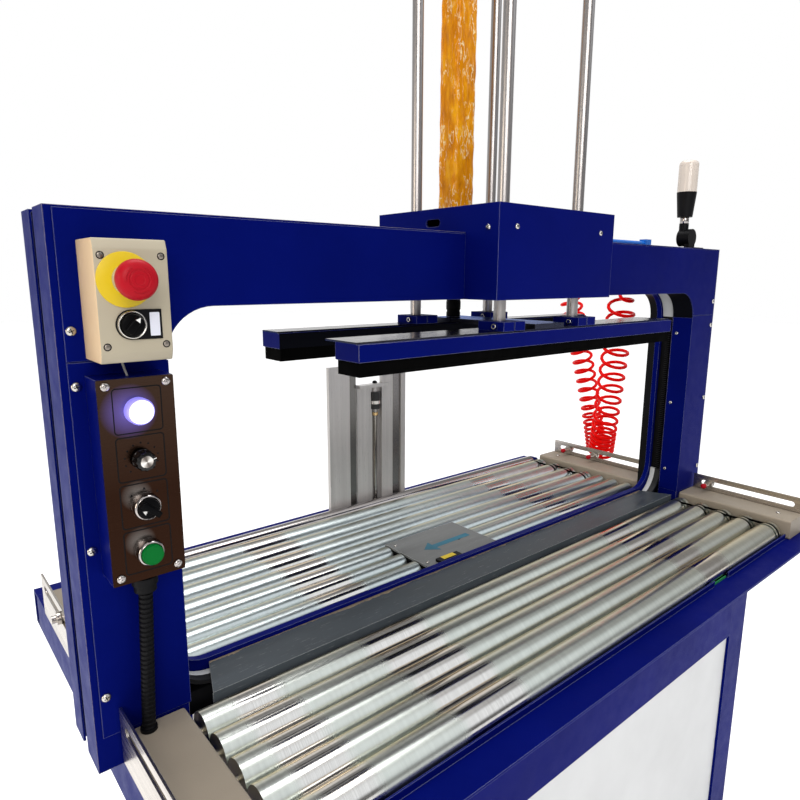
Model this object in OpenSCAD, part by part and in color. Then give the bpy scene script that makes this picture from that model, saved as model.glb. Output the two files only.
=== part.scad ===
// Arch strapping press for cartons: arch with strap track, pneumatic press, roller deck and controls
// Millimetres, +Z up, +Y along the roller deck away from the operator

/* [Arch] */
// Outer width of the arch
arch_w = 1500; // [1300:10:1700]
// Width of each column
column_w = 112; // [90:1:140]
// Height of the beam
beam_h = 105; // [90:1:130]
// Free height from the roller tops to the beam
arch_clear = 512; // [420:1:620]
// Depth of the front shell
shell_d = 48; // [40:1:60]
// Depth of the strap slot
slot_d = 30; // [24:1:36]
// Thickness of the inner ring plate
ring_t = 12; // [8:1:16]
// Depth of the rear shell behind the ring plate
rear_d = 18; // [12:1:30]
// Outer groove between the two shells
groove_d = 22; // [16:1:23]
// Radius of the inner corners
corner_r = 60; // [40:1:80]
// Sheet thickness of the shells
sheet = 3; // [2:0.5:4]
// Thickness of the front covers
cover_t = 2; // [1.5:0.5:3]
// Inset of the front covers from the outer edge
cover_inset = 8; // [5:1:12]
// Inset of the beam cover from the top edge
cover_drop = 2.5; // [2:0.5:10]
// Height of the cover seam below the beam
cover_split = 55; // [45:1:80]
// Gap of the cover seam
seam = 1.2; // [0.8:0.2:2]
// Height of the ring sill above the roller tops
sill_up = 8; // [6:1:16]
// Depth of the ring sill
sill_h = 56; // [52:1:70]
// Depth of the strap track behind the inner edge
track_in = 10; // [8:1:14]
// Depth of the strap track behind the outer edge
track_out = 8; // [5:1:12]
// Thickness of the corner strap guides
guide_t = 6; // [4:1:8]
// Tooth pitch of the comb strips
comb_pitch = 5; // [4:0.5:5]
// Number of teeth of each comb strip
comb_n = 76; // [60:1:76]

/* [Deck] */
// Height of the roller tops above the floor
deck_z = 800; // [700:5:900]
// Drop of the deck frame below the roller tops
deck_drop = 35; // [30:1:40]
// Height of the deck frame
frame_h = 65; // [60:1:80]
// Reach of the deck in front of the arch
front_reach = 301; // [290:1:340]
// Width of each side rail
rail_w = 75; // [60:1:90]
// Height of each side rail
rail_h = 43; // [38:1:50]
// Edge radius of the side rails
rail_r = 5; // [3:1:8]
// Wall of the side rails
rail_wall = 3; // [2:0.5:4]
// Gap between arch opening and side rail
rail_gap = 7; // [5:1:10]
// Thickness of the sensor plates
sensor_plate_t = 3; // [2:0.5:4]
// Rise of the sensor plates above the rails
sensor_rise = 36; // [32:1:45]
// Height of the sensor slots
slot_h = 13; // [12.8:0.2:16]
// Sensor barrel diameter
sensor_d = 12; // [10:0.2:12.4]
// Sensor nut diameter
nut_d = 20; // [17:1:22]
// Sensor nut thickness
nut_t = 6; // [4:1:8]
// Slip gap at sensor nuts
slip = 0.4; // [0.3:0.1:0.6]

/* [Rollers] */
// Main roller diameter
roller_d = 50; // [46:0.5:50]
// Pitch of the front rollers
front_pitch = 51.5; // [51.5:0.5:54]
// Pitch of the rear rollers
rear_pitch = 52.5; // [51.5:0.5:53]
// Diameter of the short rollers
short_d = 38; // [34:0.5:40]
// Pitch of the short rollers
short_pitch = 43.5; // [42.5:0.5:44]
// Diameter of the outfeed roller
out_d = 34; // [30:1:36]
// Roller wall
roller_wall = 2; // [1.5:0.5:3]
// Roller shaft diameter
shaft_d = 12; // [10:0.5:14]
// Radial running clearance
run_clear = 0.05; // [0.02:0.01:0.1]
// Radial seat clearance
seat_clear = 0.1; // [0.05:0.05:0.2]
// Gap between rollers and arch opening
roller_gap = 6; // [5:1:10]
// Round belt diameter
belt_d = 5; // [4:0.5:6]
// Groove depth for the round belts
belt_groove = 6; // [6:0.5:7]

/* [Press] */
// Width of the press housing
housing_w = 309; // [280:1:340]
// Reach of the housing in front of the arch
housing_front = 70; // [60:1:80]
// Reach of the housing behind the arch front
housing_rear = 221; // [210:1:240]
// Height of the housing
housing_h = 146; // [130:1:170]
// Guide rod diameter
rod_d = 20; // [16:0.5:25]
// Guide rod spacing across
rod_span = 200; // [180:1:220]
// Front rod row in front of the arch
front_row = 29; // [28:1:32]
// Rear rod row behind the arch front
rear_row = 180; // [170:1:190]
// Guide rod length
rod_l = 632; // [560:1:700]
// Length of the press bars
bar_l = 820; // [700:10:900]
// Width of the press bars
bar_w = 55; // [50:1:60]
// Shift of the press bars in front of the guide rods
bar_shift = 5.5; // [4:0.5:7]
// Height of the press bars
bar_h = 24; // [18:0.5:28]
// Drop of the press bars below the beam
bar_drop = 52.5; // [50:0.5:70]
// Thickness of the sheets on the press bars
bar_sheet = 2.5; // [2:0.5:4]
// Reach of the sheet behind the front press bar
sheet_reach = 24; // [10:1:30]
// Pad thickness
pad_t = 20; // [12:1:24]
// Pad inset
pad_inset = 2.5; // [1:0.5:5]
// Clamp block length
clamp_l = 52; // [44:1:60]
// Clamp block height
clamp_h = 15; // [12:1:20]
// Cylinder body width
cyl_w = 48; // [44:1:60]
// Cylinder body length
cyl_l = 552; // [500:1:600]
// Cylinder bore
cyl_bore = 36; // [30:1:40]
// Piston rod diameter
piston_rod_d = 18; // [16:1:20]
// Floating joint diameter
joint_d = 26; // [22:1:32]

/* [Controls] */
// Emergency stop box width
estop_w = 72; // [66:1:80]
// Emergency stop box height
estop_h = 123; // [110:1:130]
// Emergency stop box depth
estop_d = 60; // [50:1:70]
// Emergency stop collar height
stop_collar = 16; // [10:1:18]
// Mushroom diameter
mushroom_d = 40; // [36:1:42]
// Mushroom thickness
mushroom_t = 15; // [12:1:18]
// Mushroom travel
mushroom_travel = 6; // [4:0.5:7]
// Control box width
control_w = 78; // [70:1:90]
// Control box height
control_h = 227; // [210:1:240]
// Control box depth
control_d = 42; // [35:1:55]
// Control face thickness
face_t = 1.5; // [1:0.5:2]
// Control pitch
control_pitch = 53; // [50:0.5:54]
// Bezel diameter
bezel_d = 29; // [26:1:32]
// Bezel height
bezel_h = 12; // [8:1:14]
// Button diameter
button_d = 22; // [18:1:23]
// Button travel
button_travel = 4; // [2:0.5:4]
// Gap round buttons
button_gap = 0.5; // [0.3:0.1:0.8]
// Knob diameter
knob_d = 23; // [20:1:26]
// Conduit diameter
conduit_d = 16; // [14:1:20]
// Sideways lean of the conduit
conduit_lean = 2.2; // [0:0.1:3]
// Backward lean of the conduit
conduit_back = 1.8; // [0:0.1:2.5]
// Conduit rib pitch
rib_pitch = 6; // [5:0.5:8]

/* [Lamp] */
// Fold disc diameter
fold_d = 42; // [36:1:48]
// Fold pin diameter
fold_pin = 10; // [8:0.5:12]
// Lamp tube diameter
lamp_tube_d = 20; // [16:1:22]
// Lamp pole diameter
pole_d = 22; // [18:1:24]
// Lens diameter
lens_d = 45; // [40:1:50]
// Lens height
lens_h = 74; // [60:1:80]

/* [Hoses] */
// Hose tube diameter
tube_d = 9; // [8:0.5:10]
// Curls of hose a
curls_a = 22; // [16:1:24]
// Curls of hose b
curls_b = 19; // [14:1:20]
// Curl radius of hose a
curl_a = 28; // [20:1:30]
// Curl radius of hose b
curl_b = 34; // [26:1:36]
// Reach of the air manifold beyond the column
hanger_reach = 112; // [112:1:140]

/* [Gate] */
// Height of the gate posts above the roller tops
gate_up = 339; // [320:1:400]
// Depth of the gate feet
post_d = 40; // [36:1:44]
// Thickness of the gate posts
post_t = 10; // [9:0.5:12]
// Stroke of the stop plate
gate_stroke = 290; // [200:5:290]
// Rod diameter of the gate cylinder
gate_rod = 12; // [8:0.5:12]
// Body diameter of the gate cylinder
gate_cyl = 21; // [18:1:22]
// Diameter of the floating joint of the gate
gate_joint = 28; // [18:1:28]

/* [Base] */
// Width of the base
base_w = 1000; // [800:10:1100]
// Leg width
leg_w = 70; // [60:1:80]
// Leg depth
leg_d = 50; // [40:1:60]
// Apron height
apron_h = 100; // [80:1:120]
// Lower stretcher height
stretcher_h = 60; // [40:1:80]
// Height of the feet
foot_h = 60; // [40:1:90]
// Panel set-back
panel_in = 6; // [4:1:12]

/* [Hidden] */
$fn = 48;
fine = 24;
weld = 0.2;
flange_t = 4;
rear_beam_d = 31;
arch_d = cover_t + shell_d + slot_d + ring_t + rear_d;
half_w = arch_w / 2;
open_half = half_w - column_w;
beam_z = deck_z + arch_clear;
beam_top = beam_z + beam_h;
deck_top = deck_z - deck_drop;
frame_z = deck_top - frame_h;
shell_back = cover_t + shell_d;
ring_y = shell_back + slot_d;
ring_back = ring_y + ring_t;
rear_wall_y = shell_back + groove_d;
split_z = beam_z - cover_split;
cover_foot = deck_top + 45;
sill_z = deck_z + sill_up;
rail_in = open_half + rail_gap;
rail_out = rail_in + rail_w;
rail_top = deck_top + rail_h;
roller_half = open_half - roller_gap;
roller_z = deck_z - roller_d / 2;
short_z = deck_z - short_d / 2;
out_z = deck_z - out_d / 2;
short_gap = 6;
row_gap = 1;
out_gap = 1.5;
gate_gap = 5;
front_first = -18;
short_first = arch_d + short_d / 2 + short_gap;
short_last = short_first + 2 * short_pitch;
rear_first = short_last + (short_d + roller_d) / 2 + row_gap;
rear_last = rear_first + 3 * rear_pitch;
out_y = rear_last + (roller_d + out_d) / 2 + out_gap;
gate_y = out_y + out_d / 2 + gate_gap;
gate_back = gate_y + post_d;
rear_reach = gate_back + rear_beam_d;
arch_x = -hanger_reach / 2;
arch_y = -(rear_reach - front_reach) / 2;
rail_front_y = -262;
rail_front_end = -3;
rail_rear_y = arch_d + 3;
rail_rear_end = rear_last + 15.5;
slot_margin = 20;
sensor_z = rail_top + 17;
sensor_front_y = -43;
sensor_rear_ys = [rail_rear_y + 184, rail_rear_y + 274];
sensor_left_y = rail_rear_y + 187;
plate_left = -130;
plate_right = 64;
plate_rear = short_last + 14;
head_left = plate_left + 2;
head_right = plate_right - 2;
left_lead = [35, 59];
right_lead = [11, 45];
side_gap = 5;
cap_t = 12;
belt_cap = 44;
groove_w = 8;
groove_1 = 14;
groove_2 = 28;
grooves = [groove_2, groove_1];
rows = [-front_row, rear_row];
bar_top = beam_z - bar_drop;
bar_z = bar_top - bar_h;
bar_front = bar_w / 2 + bar_shift;
bar_back = bar_w / 2 - bar_shift;
sheet_in = 6;
clamp_z = bar_top + bar_sheet;
cross_t = 8;
cross_half = 40;
housing_top = beam_z + housing_h;
cyl_z = housing_top;
cyl_top = cyl_z + cyl_l;
piston_t = 20;
cyl_cap = 22;
joint_top = clamp_z + cross_t + 34;
estop_x = 63 - half_w;
estop_z = beam_z + 9.5;
stop_x = 58 - half_w;
stop_z = beam_z + 31;
select_z = beam_z - 13.6;
control_x = 63 - half_w;
control_z = beam_z - 297;
button_z = beam_z - 105.4;
face_y = -control_d - face_t;
conduit_y = -20;
collar_h = 6;
gland_h = 24;
lamp_x = half_w - 66;
lamp_y = 54;
lamp_z = beam_top + 28;
cup_z = lamp_z + 50;
lens_z = lamp_z + 109;
gate_x = 47.5;
gate_rod_y = gate_y - gate_gap + gate_joint / 2 + 1.4;
gate_top = deck_z + gate_up;
stop_top = deck_z + 284;
gate_joint_z = stop_top - 78;
gate_clear = 0.6;
gate_cyl_top = gate_joint_z - gate_stroke - 2;
base_y = -240;
base_rear = out_y - 18;
base_top = frame_z;
belt_x = [293, 344];
belt_pulley = 40;
belt_front = -226;
belt_rear = -45;
belt_z = frame_z + 27;
belt_t = 2;
cross_1 = [5, 45];
cross_2 = [out_y - 28, out_y + 12];
cross_top = frame_z + 45;
front_edge = -252;
navy = [0.03, 0.06, 0.42];
pale = [0.82, 0.83, 0.84];
steel = [0.66, 0.68, 0.7];
dark = [0.12, 0.12, 0.13];
slate = [0.3, 0.32, 0.36];
zinc = [0.72, 0.73, 0.75];
amber = [0.85, 0.6, 0.25];
beige = [0.86, 0.82, 0.7];
red = [0.75, 0.06, 0.06];
green = [0.05, 0.5, 0.25];

// Helpers

module at_arch() translate([arch_x, arch_y, 0]) children();

module slab_y(y0, y1) translate([0, y1, 0]) rotate([90, 0, 0]) linear_extrude(y1 - y0) children();

module slab_x(x0, x1) translate([x0, 0, 0]) rotate([90, 0, 90]) linear_extrude(x1 - x0) children();

module box(lo, hi) translate(lo) cube(hi - lo);

module rod_x(x0, x1, y, z, d) translate([x0, y, z]) rotate([0, 90, 0]) cylinder(d = d, h = x1 - x0);

module rod_y(x, y0, y1, z, d) translate([x, y1, z]) rotate([90, 0, 0]) cylinder(d = d, h = y1 - y0);

module rod_z(x, y, z0, z1, d) translate([x, y, z0]) cylinder(d = d, h = z1 - z0);

module both_sides() {
  children();
  mirror([1, 0, 0]) children();
}

module round_rect(w, h, r) {
  square([w - 2 * r, h], center = true);
  square([w, h - 2 * r], center = true);
  for (sx = [-1, 1], sy = [-1, 1])
    translate([sx * (w / 2 - r), sy * (h / 2 - r)]) circle(r);
}

module obround(len, h) {
  square([len - h, h], center = true);
  for (s = [-1, 1]) translate([s * (len - h) / 2, 0]) circle(d = h);
}

module tube_box(lo, hi, wall, along) {
  difference() {
    box(lo, hi);
    box([for (i = [0:2]) lo[i] + (i == along ? -1 : wall)],
      [for (i = [0:2]) hi[i] + (i == along ? 1 : -wall)]);
  }
}

// Arch outlines

module opening_2d(grow, foot) {
  half = open_half + grow;
  top = beam_z + grow;
  r = corner_r + grow;
  translate([-half, foot]) square([2 * half, top - r - foot]);
  translate([r - half, foot]) square([2 * (half - r), top - foot]);
  for (s = [-1, 1]) translate([s * (half - r), top - r]) circle(r);
}

module portal_2d(inset, grow, foot) {
  difference() {
    translate([inset - half_w, foot]) square([arch_w - 2 * inset, beam_top - inset - foot]);
    opening_2d(grow, foot - 1);
  }
}

module ring_2d() {
  mid_z = (beam_z + sill_z) / 2;
  difference() {
    union() {
      translate([sheet - half_w, deck_top]) square([arch_w - 2 * sheet, beam_top - sheet - deck_top]);
      translate([-open_half, sill_z - sill_h]) square([2 * open_half, sill_h]);
    }
    translate([0, mid_z]) round_rect(2 * open_half, beam_z - sill_z, corner_r);
  }
}

module arch_front_shell() {
  color(navy) at_arch() difference() {
    slab_y(cover_t, shell_back) portal_2d(0, 0, deck_top);
    slab_y(cover_t + sheet, shell_back - sheet) portal_2d(sheet, sheet, deck_top - 1);
  }
}

module arch_rear_shell() {
  color(navy) at_arch() {
    slab_y(ring_y, ring_back) ring_2d();
    slab_y(rear_wall_y, arch_d) difference() {
      portal_2d(0, sheet, deck_top);
      portal_2d(sheet, -1, deck_top - 1);
    }
    slab_y(arch_d - sheet, arch_d) portal_2d(0, sheet, deck_top);
  }
}

// Strap track with lining and comb strips

module comb_2d() {
  tip = open_half + 1;
  root = open_half + track_in;
  low = deck_z + 62;
  half = comb_pitch / 4;
  teeth = [for (i = [0:comb_n - 1], k = [0:3])
    [(k == 1 || k == 2) ? tip : root - 3, low + i * comb_pitch + (k < 2 ? -half : half)]];
  polygon(concat([[root, low - half]], teeth, [[root, low + (comb_n - 1) * comb_pitch + half]]));
}

module strap_track() {
  color(dark) at_arch() {
    slab_y(shell_back, ring_y) {
      portal_2d(track_out, track_in, deck_top);
      translate([-open_half - track_in, deck_top]) square([2 * (open_half + track_in), 21]);
      translate([2 - open_half, deck_top - 13]) square([2 * open_half - 4, 14]);
    }
    slab_y(ring_back, arch_d) difference() {
      opening_2d(sheet, deck_top);
      opening_2d(0, deck_top - 1);
    }
    both_sides() slab_y(shell_back + 5, shell_back + 15) comb_2d();
  }
}

module guide_2d(z, up) {
  r = corner_r + track_in - seat_clear;
  translate([open_half - corner_r, z]) difference() {
    circle(r);
    circle(r - guide_t);
    translate([-r, up > 0 ? -2 * r : 0]) square([2 * r, 2 * r]);
    translate([-2 * r, -r]) square([2 * r, 2 * r]);
  }
}

module strap_guides() {
  color(pale) at_arch() both_sides() slab_y(shell_back + 2, ring_y - 2) {
    guide_2d(beam_z - corner_r, 1);
    guide_2d(deck_top + 21 + corner_r + track_in, -1);
  }
}

module column_covers() {
  flange_top = min(split_z - seam / 2, beam_z - corner_r);
  cover_low = split_z + seam / 2;
  color(navy) at_arch() {
    slab_y(0, cover_t) difference() {
      translate([cover_inset - half_w, cover_low])
        square([arch_w - 2 * cover_inset, beam_top - cover_drop - cover_low]);
      opening_2d(0, cover_low - 1);
    }
    both_sides() {
      box([open_half, 0, cover_foot], [half_w - cover_inset, cover_t, split_z - seam / 2]);
      box([open_half - cover_t, 0, cover_foot], [open_half, shell_back - 2, flange_top]);
    }
  }
}

// Screws

module pan_head(d) {
  translate([0, 0, -0.25 * d]) intersection() {
    sphere(d = 1.2 * d);
    translate([0, 0, 0.25 * d]) cylinder(d = d, h = d, $fn = fine);
  }
}

module screws() {
  column_x = half_w - 15;
  column_screws = [22, 81, 267, 450];
  flange_screws = [99, 274, 448];
  color(zinc) at_arch() {
    for (s = [-1, 1]) {
      for (dz = column_screws)
        translate([s * column_x, 0, beam_z - dz]) rotate([90, 0, 0]) pan_head(11);
      for (dz = flange_screws)
        translate([s * (open_half - cover_t), 36, beam_z - dz]) rotate([0, -s * 90, 0]) pan_head(8);
      translate([s * 113, -housing_front, beam_z + 112]) rotate([90, 0, 0]) pan_head(9);
      for (y = [-49, arch_d + 50])
        translate([s * housing_w / 2, y, beam_z + 110]) rotate([0, s * 90, 0]) pan_head(9);
      for (dz = [8, control_h - 7])
        translate([control_x + s * 31, face_y, control_z + dz]) rotate([90, 0, 0]) pan_head(10);
      for (y = [rail_front_y + 40, rail_rear_end - 40])
        translate([s * (rail_in + rail_w / 2), y, rail_top]) pan_head(10);
    }
    for (y = [118, 216]) translate([plate_left + 12, y, deck_z + 1]) pan_head(7);
  }
}

// Press

module press_housing() {
  half = housing_w / 2;
  floor_t = 10;
  bush_d = rod_d + 14;
  bush_h = 70;
  color(navy) at_arch() {
    difference() {
      union() {
        difference() {
          box([-half, -housing_front, beam_z], [half, housing_rear, housing_top]);
          box([sheet - half, sheet - housing_front, beam_z - 1],
            [half - sheet, housing_rear - sheet, housing_top - sheet]);
        }
        box([-half, -housing_front, beam_z], [half, 0, beam_z + floor_t]);
        box([-half, arch_d, beam_z], [half, housing_rear, beam_z + floor_t]);
      }
      box([-half - 1, 0, beam_z - 1], [half + 1, arch_d, beam_top]);
      for (y = rows, s = [-1, 1])
        rod_z(s * rod_span / 2, y, beam_z - 1, housing_top + 1, rod_d + 2);
      rod_z(0, rear_row, beam_z - 1, housing_top + 1, joint_d + 8);
      translate([0, 76, beam_z + 123]) slab_x(-half - 1, sheet + 1 - half) obround(34, 12);
    }
    for (y = rows, s = [-1, 1]) translate([s * rod_span / 2, y, beam_z + floor_t]) difference() {
      cylinder(d = bush_d, h = bush_h);
      translate([0, 0, -1]) cylinder(d = rod_d + 2 * run_clear, h = bush_h + 2);
    }
  }
}

module press_cylinder() {
  color(amber) at_arch() translate([0, rear_row, cyl_z]) difference() {
    linear_extrude(cyl_l) round_rect(cyl_w, cyl_w, 6);
    translate([0, 0, cyl_cap]) cylinder(d = cyl_bore, h = cyl_l - 2 * cyl_cap);
    translate([0, 0, -1]) cylinder(d = piston_rod_d + 2 * run_clear, h = cyl_cap + 2);
    translate([0, 0, cyl_l - cyl_cap - 1]) cylinder(d = 9, h = cyl_cap + 2);
  }
}

module press_bars() {
  half = bar_l / 2;
  color(navy) at_arch() {
    for (y = rows) {
      reach = y == rows[0] ? sheet_reach : 0;
      box([-half, y - bar_front, bar_z], [half, y + bar_back, bar_top]);
      box([-half, y - bar_front + sheet_in, bar_top], [half, y + bar_back + reach, clamp_z]);
    }
    box([-cross_half, rows[0] - bar_front + sheet_in, clamp_z], [cross_half, rows[1] + bar_back, clamp_z + cross_t]);
  }
}

module press_pads() {
  half = bar_l / 2 - pad_inset;
  color(dark) at_arch() for (y = rows)
    box([-half, y - bar_front + pad_inset, bar_z - pad_t], [half, y + bar_back - pad_inset, bar_z]);
}

module guide_rods() {
  color(steel) at_arch() {
    for (y = rows, s = [-1, 1]) rod_z(s * rod_span / 2, y, clamp_z, clamp_z + rod_l, rod_d);
    rod_z(0, rear_row, clamp_z + cross_t, joint_top, joint_d);
    rod_z(0, rear_row, joint_top - 1, cyl_top - cyl_cap - piston_t, piston_rod_d);
    rod_z(0, rear_row, cyl_top - cyl_cap - piston_t - 5, cyl_top - cyl_cap - 5, cyl_bore - 0.2);
  }
}

module rod_clamps() {
  color(navy) at_arch() for (y = rows, s = [-1, 1]) translate([s * rod_span / 2, y, clamp_z]) {
    difference() {
      box([-clamp_l / 2, -bar_front, 0], [clamp_l / 2, bar_back, clamp_h]);
      translate([0, 0, -1]) cylinder(d = rod_d + 2 * run_clear, h = clamp_h + 2);
      box([-1, -bar_front - 1, -1], [1, 0, clamp_h + 1]);
    }
    translate([-clamp_l / 2 - 5, -15, clamp_h / 2]) rotate([0, 90, 0]) cylinder(d = 9, h = 5, $fn = fine);
  }
}

module air_tube() {
  z = beam_top + 5;
  color([0.1, 0.3, 0.8]) at_arch() {
    rod_x(housing_w / 2, 440, 34, z, 9.8);
    box([440, 26, beam_top], [462, 42, beam_top + 14]);
  }
}

// Controls

module e_stop_box() {
  half = estop_w / 2;
  high = estop_h / 2;
  collar_d = 32;
  slope_y = 4 - estop_d;
  slope_z = high - 10;
  side = [
    [0, -high], [0, high], [slope_y, high], [-estop_d, slope_z], [-estop_d, -slope_z], [slope_y, -high]
  ];
  color(beige) at_arch() difference() {
    union() {
      translate([estop_x - half, 0, estop_z]) rotate([90, 0, 90]) linear_extrude(estop_w) polygon(side);
      rod_y(stop_x, -estop_d - stop_collar, -estop_d + 1, stop_z, collar_d);
      rod_y(stop_x, -estop_d - collar_h, -estop_d + 1, select_z, bezel_d);
    }
    box([estop_x - half + 4, -estop_d + 9, estop_z - high + 4], [estop_x + half - 4, 1, estop_z + high - 4]);
    rod_y(stop_x, -estop_d - stop_collar - 1, 0, stop_z, button_d + 2 * button_gap);
    rod_y(stop_x, -estop_d - collar_h - 1, 0, select_z, button_d + 2 * button_gap);
  }
}

module e_stop_button() {
  front = -estop_d - stop_collar - mushroom_travel - 1 - mushroom_t;
  color(red) at_arch() {
    rod_y(stop_x, front + 3, front + mushroom_t, stop_z, mushroom_d);
    rod_y(stop_x, front, front + 4, stop_z, mushroom_d - 6);
    rod_y(stop_x, front + 5, -16, stop_z, button_d);
  }
}

module selector(x, y, z, tip, lean) {
  rod_y(x, y, -16, z, button_d);
  translate([x, 0, z]) rotate([0, lean, 0]) box([-4, y - tip, -11], [4, y + 1, 11]);
}

module upper_selector() {
  color(dark) at_arch() selector(stop_x, -estop_d - collar_h - 3, select_z, 9, 40);
}

module lower_selector() {
  color(dark) at_arch() selector(control_x, face_y - bezel_h - 2, button_z - 2 * control_pitch, 9, -50);
}

module control_box() {
  half = control_w / 2;
  wall = 2;
  color(navy) at_arch() difference() {
    box([control_x - half, -control_d, control_z], [control_x + half, 0, control_z + control_h]);
    box([control_x - half + wall, -control_d - 1, control_z + wall],
      [control_x + half - wall, -wall, control_z + control_h - wall]);
    rod_z(control_x, conduit_y, control_z - 1, control_z + wall + 1, 14);
  }
}

module control_face() {
  half = control_w / 2;
  hole = button_d + 2 * button_gap;
  color(steel) at_arch() difference() {
    union() {
      box([control_x - half, face_y, control_z], [control_x + half, -control_d, control_z + control_h]);
      for (i = [0, 2, 3])
        rod_y(control_x, face_y - bezel_h, face_y + 1, button_z - i * control_pitch, bezel_d);
      rod_y(control_x, face_y - 3, face_y + 1, button_z - control_pitch, 14);
    }
    for (i = [0, 2, 3])
      rod_y(control_x, face_y - bezel_h - 1, 0, button_z - i * control_pitch, hole);
    rod_y(control_x, face_y - 4, 0, button_z - control_pitch, 6 + 2 * button_gap);
  }
}

module push_button(index, proud) {
  z = button_z - index * control_pitch;
  rod_y(control_x, face_y - bezel_h - proud, -16, z, button_d);
}

module lit_button() {
  color([0.93, 0.93, 1]) at_arch() push_button(0, button_travel + 1.5);
}

module green_button() {
  color(green) at_arch() push_button(3, button_travel + 1);
}

module pot_knob() {
  z = button_z - control_pitch;
  y = face_y - 3 - slip;
  color(dark) at_arch() {
    rod_y(control_x, y - 14, y, z, knob_d);
    rod_y(control_x, y - 15, y - 13, z, 13);
    rod_y(control_x, y - 1, -16, z, 6);
  }
}

module conduit() {
  top = control_z - gland_h;
  foot_t = 4;
  drop = top - rail_top - 1;
  ribs = floor(drop / rib_pitch);
  r = conduit_d / 2;
  pts = [for (i = [0:ribs - 1], k = [0:3])
    [k == 1 || k == 2 ? r : r - 1.6, (i + [0, 0.2, 0.7, 0.9][k]) * rib_pitch - drop]];
  color(dark) at_arch() translate([control_x, conduit_y, top]) {
    rotate([conduit_back, conduit_lean, 0]) rotate_extrude()
      polygon(concat([[r - 4, -drop]], pts, [[r - 1.6, 1], [r - 4, 1]]));
    translate([-drop * tan(conduit_lean), drop * tan(conduit_back), rail_top - top])
      cylinder(d = conduit_d + 4, h = foot_t);
    difference() {
      union() {
        cylinder(d = 25, h = gland_h);
        translate([0, 0, 9]) cylinder(d = 29, h = 9, $fn = fine);
      }
      translate([0, 0, -1]) cylinder(r = r - 3, h = gland_h + 2);
    }
  }
}

// Lamp

module beacon_base() {
  color(dark) at_arch() {
    box([lamp_x - 25, lamp_y - 30, beam_top], [lamp_x + 25, lamp_y + 34, beam_top + 4]);
    rod_y(lamp_x, lamp_y - 12, lamp_y, lamp_z, fold_d);
    box([lamp_x - 15, lamp_y - 12, beam_top], [lamp_x + 15, lamp_y, lamp_z]);
    rod_y(lamp_x, lamp_y - 1, lamp_y + 20, lamp_z, fold_pin);
  }
}

module beacon_pole() {
  y = lamp_y + slip + pole_d / 2 + 0.2;
  joint_h = 35;
  color(dark) at_arch() {
    difference() {
      union() {
        rod_y(lamp_x, lamp_y + slip, y + 7, lamp_z, fold_d - 1);
        rod_z(lamp_x, y, lamp_z, lamp_z + joint_h, pole_d);
      }
      rod_y(lamp_x, lamp_y - 2, y + pole_d, lamp_z, fold_pin + 2 * run_clear);
    }
    rod_z(lamp_x, y, lamp_z + joint_h - 1, cup_z + 1, lamp_tube_d);
    translate([lamp_x, y, cup_z]) cylinder(d1 = 35, d2 = lens_d + 1, h = lens_z - cup_z);
  }
}

module beacon_lens() {
  y = lamp_y + slip + pole_d / 2 + 0.2;
  dome = 10;
  r = lens_d / 2;
  color([0.9, 0.1, 0.05]) at_arch() translate([lamp_x, y, lens_z]) rotate_extrude() {
    square([r, lens_h - dome]);
    square([r - dome, lens_h]);
    translate([r - dome, lens_h - dome]) intersection() {
      circle(dome);
      square(dome);
    }
  }
}

// Deck

module deck_frame() {
  gap = [290, 350];
  lip_t = 2.5;
  lip_h = 11;
  web_in = rail_in - weld;
  color(navy) at_arch() {
    box([-rail_out, -front_reach, deck_top - flange_t], [rail_out, front_edge, deck_top]);
    box([-web_in, front_edge - flange_t, frame_z], [web_in, front_edge, deck_top - flange_t - weld]);
    box([-web_in, front_edge + weld, frame_z], [web_in, base_y + 40, frame_z + sheet]);
    for (span = [[-web_in, gap[0]], [gap[1], web_in]])
      box([span[0], front_edge - lip_t, deck_top], [span[1], front_edge, deck_top + lip_h]);
    both_sides() {
      tube_box([rail_in, front_edge + weld, frame_z], [rail_out, rear_reach - rear_beam_d - weld, deck_top], 4, 1);
      box([rail_in + 2, out_y - 14, deck_top + weld], [rail_in + 8, out_y + 14, out_z + 11]);
    }
    for (c = [cross_1, cross_2])
      tube_box([weld - rail_in, c[0], frame_z], [rail_in - weld, c[1], cross_top], sheet, 0);
    for (x = [-110, 20])
      tube_box([x, cross_1[1] + weld, frame_z + 15], [x + 30, cross_2[0] - weld, cross_top], sheet, 1);
    tube_box([-rail_out, rear_reach - rear_beam_d, frame_z], [rail_out, rear_reach, deck_top], 4, 0);
  }
}

module rail(y0, y1, closed) {
  w = rail_w - 2 * rail_wall;
  h = rail_h - 2 * rail_wall;
  lo = closed < 0 ? y0 + rail_wall : y0 - 1;
  hi = closed < 0 ? y1 + 1 : y1 - rail_wall;
  translate([rail_in + rail_w / 2, 0, deck_top + rail_h / 2]) difference() {
    slab_y(y0, y1) round_rect(rail_w, rail_h, rail_r);
    slab_y(lo, hi) square([w, h], center = true);
  }
}

module side_rails() {
  seat = shaft_d + 2 * seat_clear;
  depth = rail_in + rail_wall + 1;
  color(pale) at_arch() both_sides() difference() {
    union() {
      rail(rail_front_y, rail_front_end, -1);
      rail(rail_rear_y, rail_rear_end, 1);
    }
    for (i = [0:4]) rod_x(rail_in - 1, depth, front_first - i * front_pitch, roller_z, seat);
    for (i = [0:3]) rod_x(rail_in - 1, depth, rear_first + i * rear_pitch, roller_z, seat);
    for (i = [0:2]) rod_x(rail_in - 1, depth, short_first + i * short_pitch, short_z, seat);
  }
}

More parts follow.
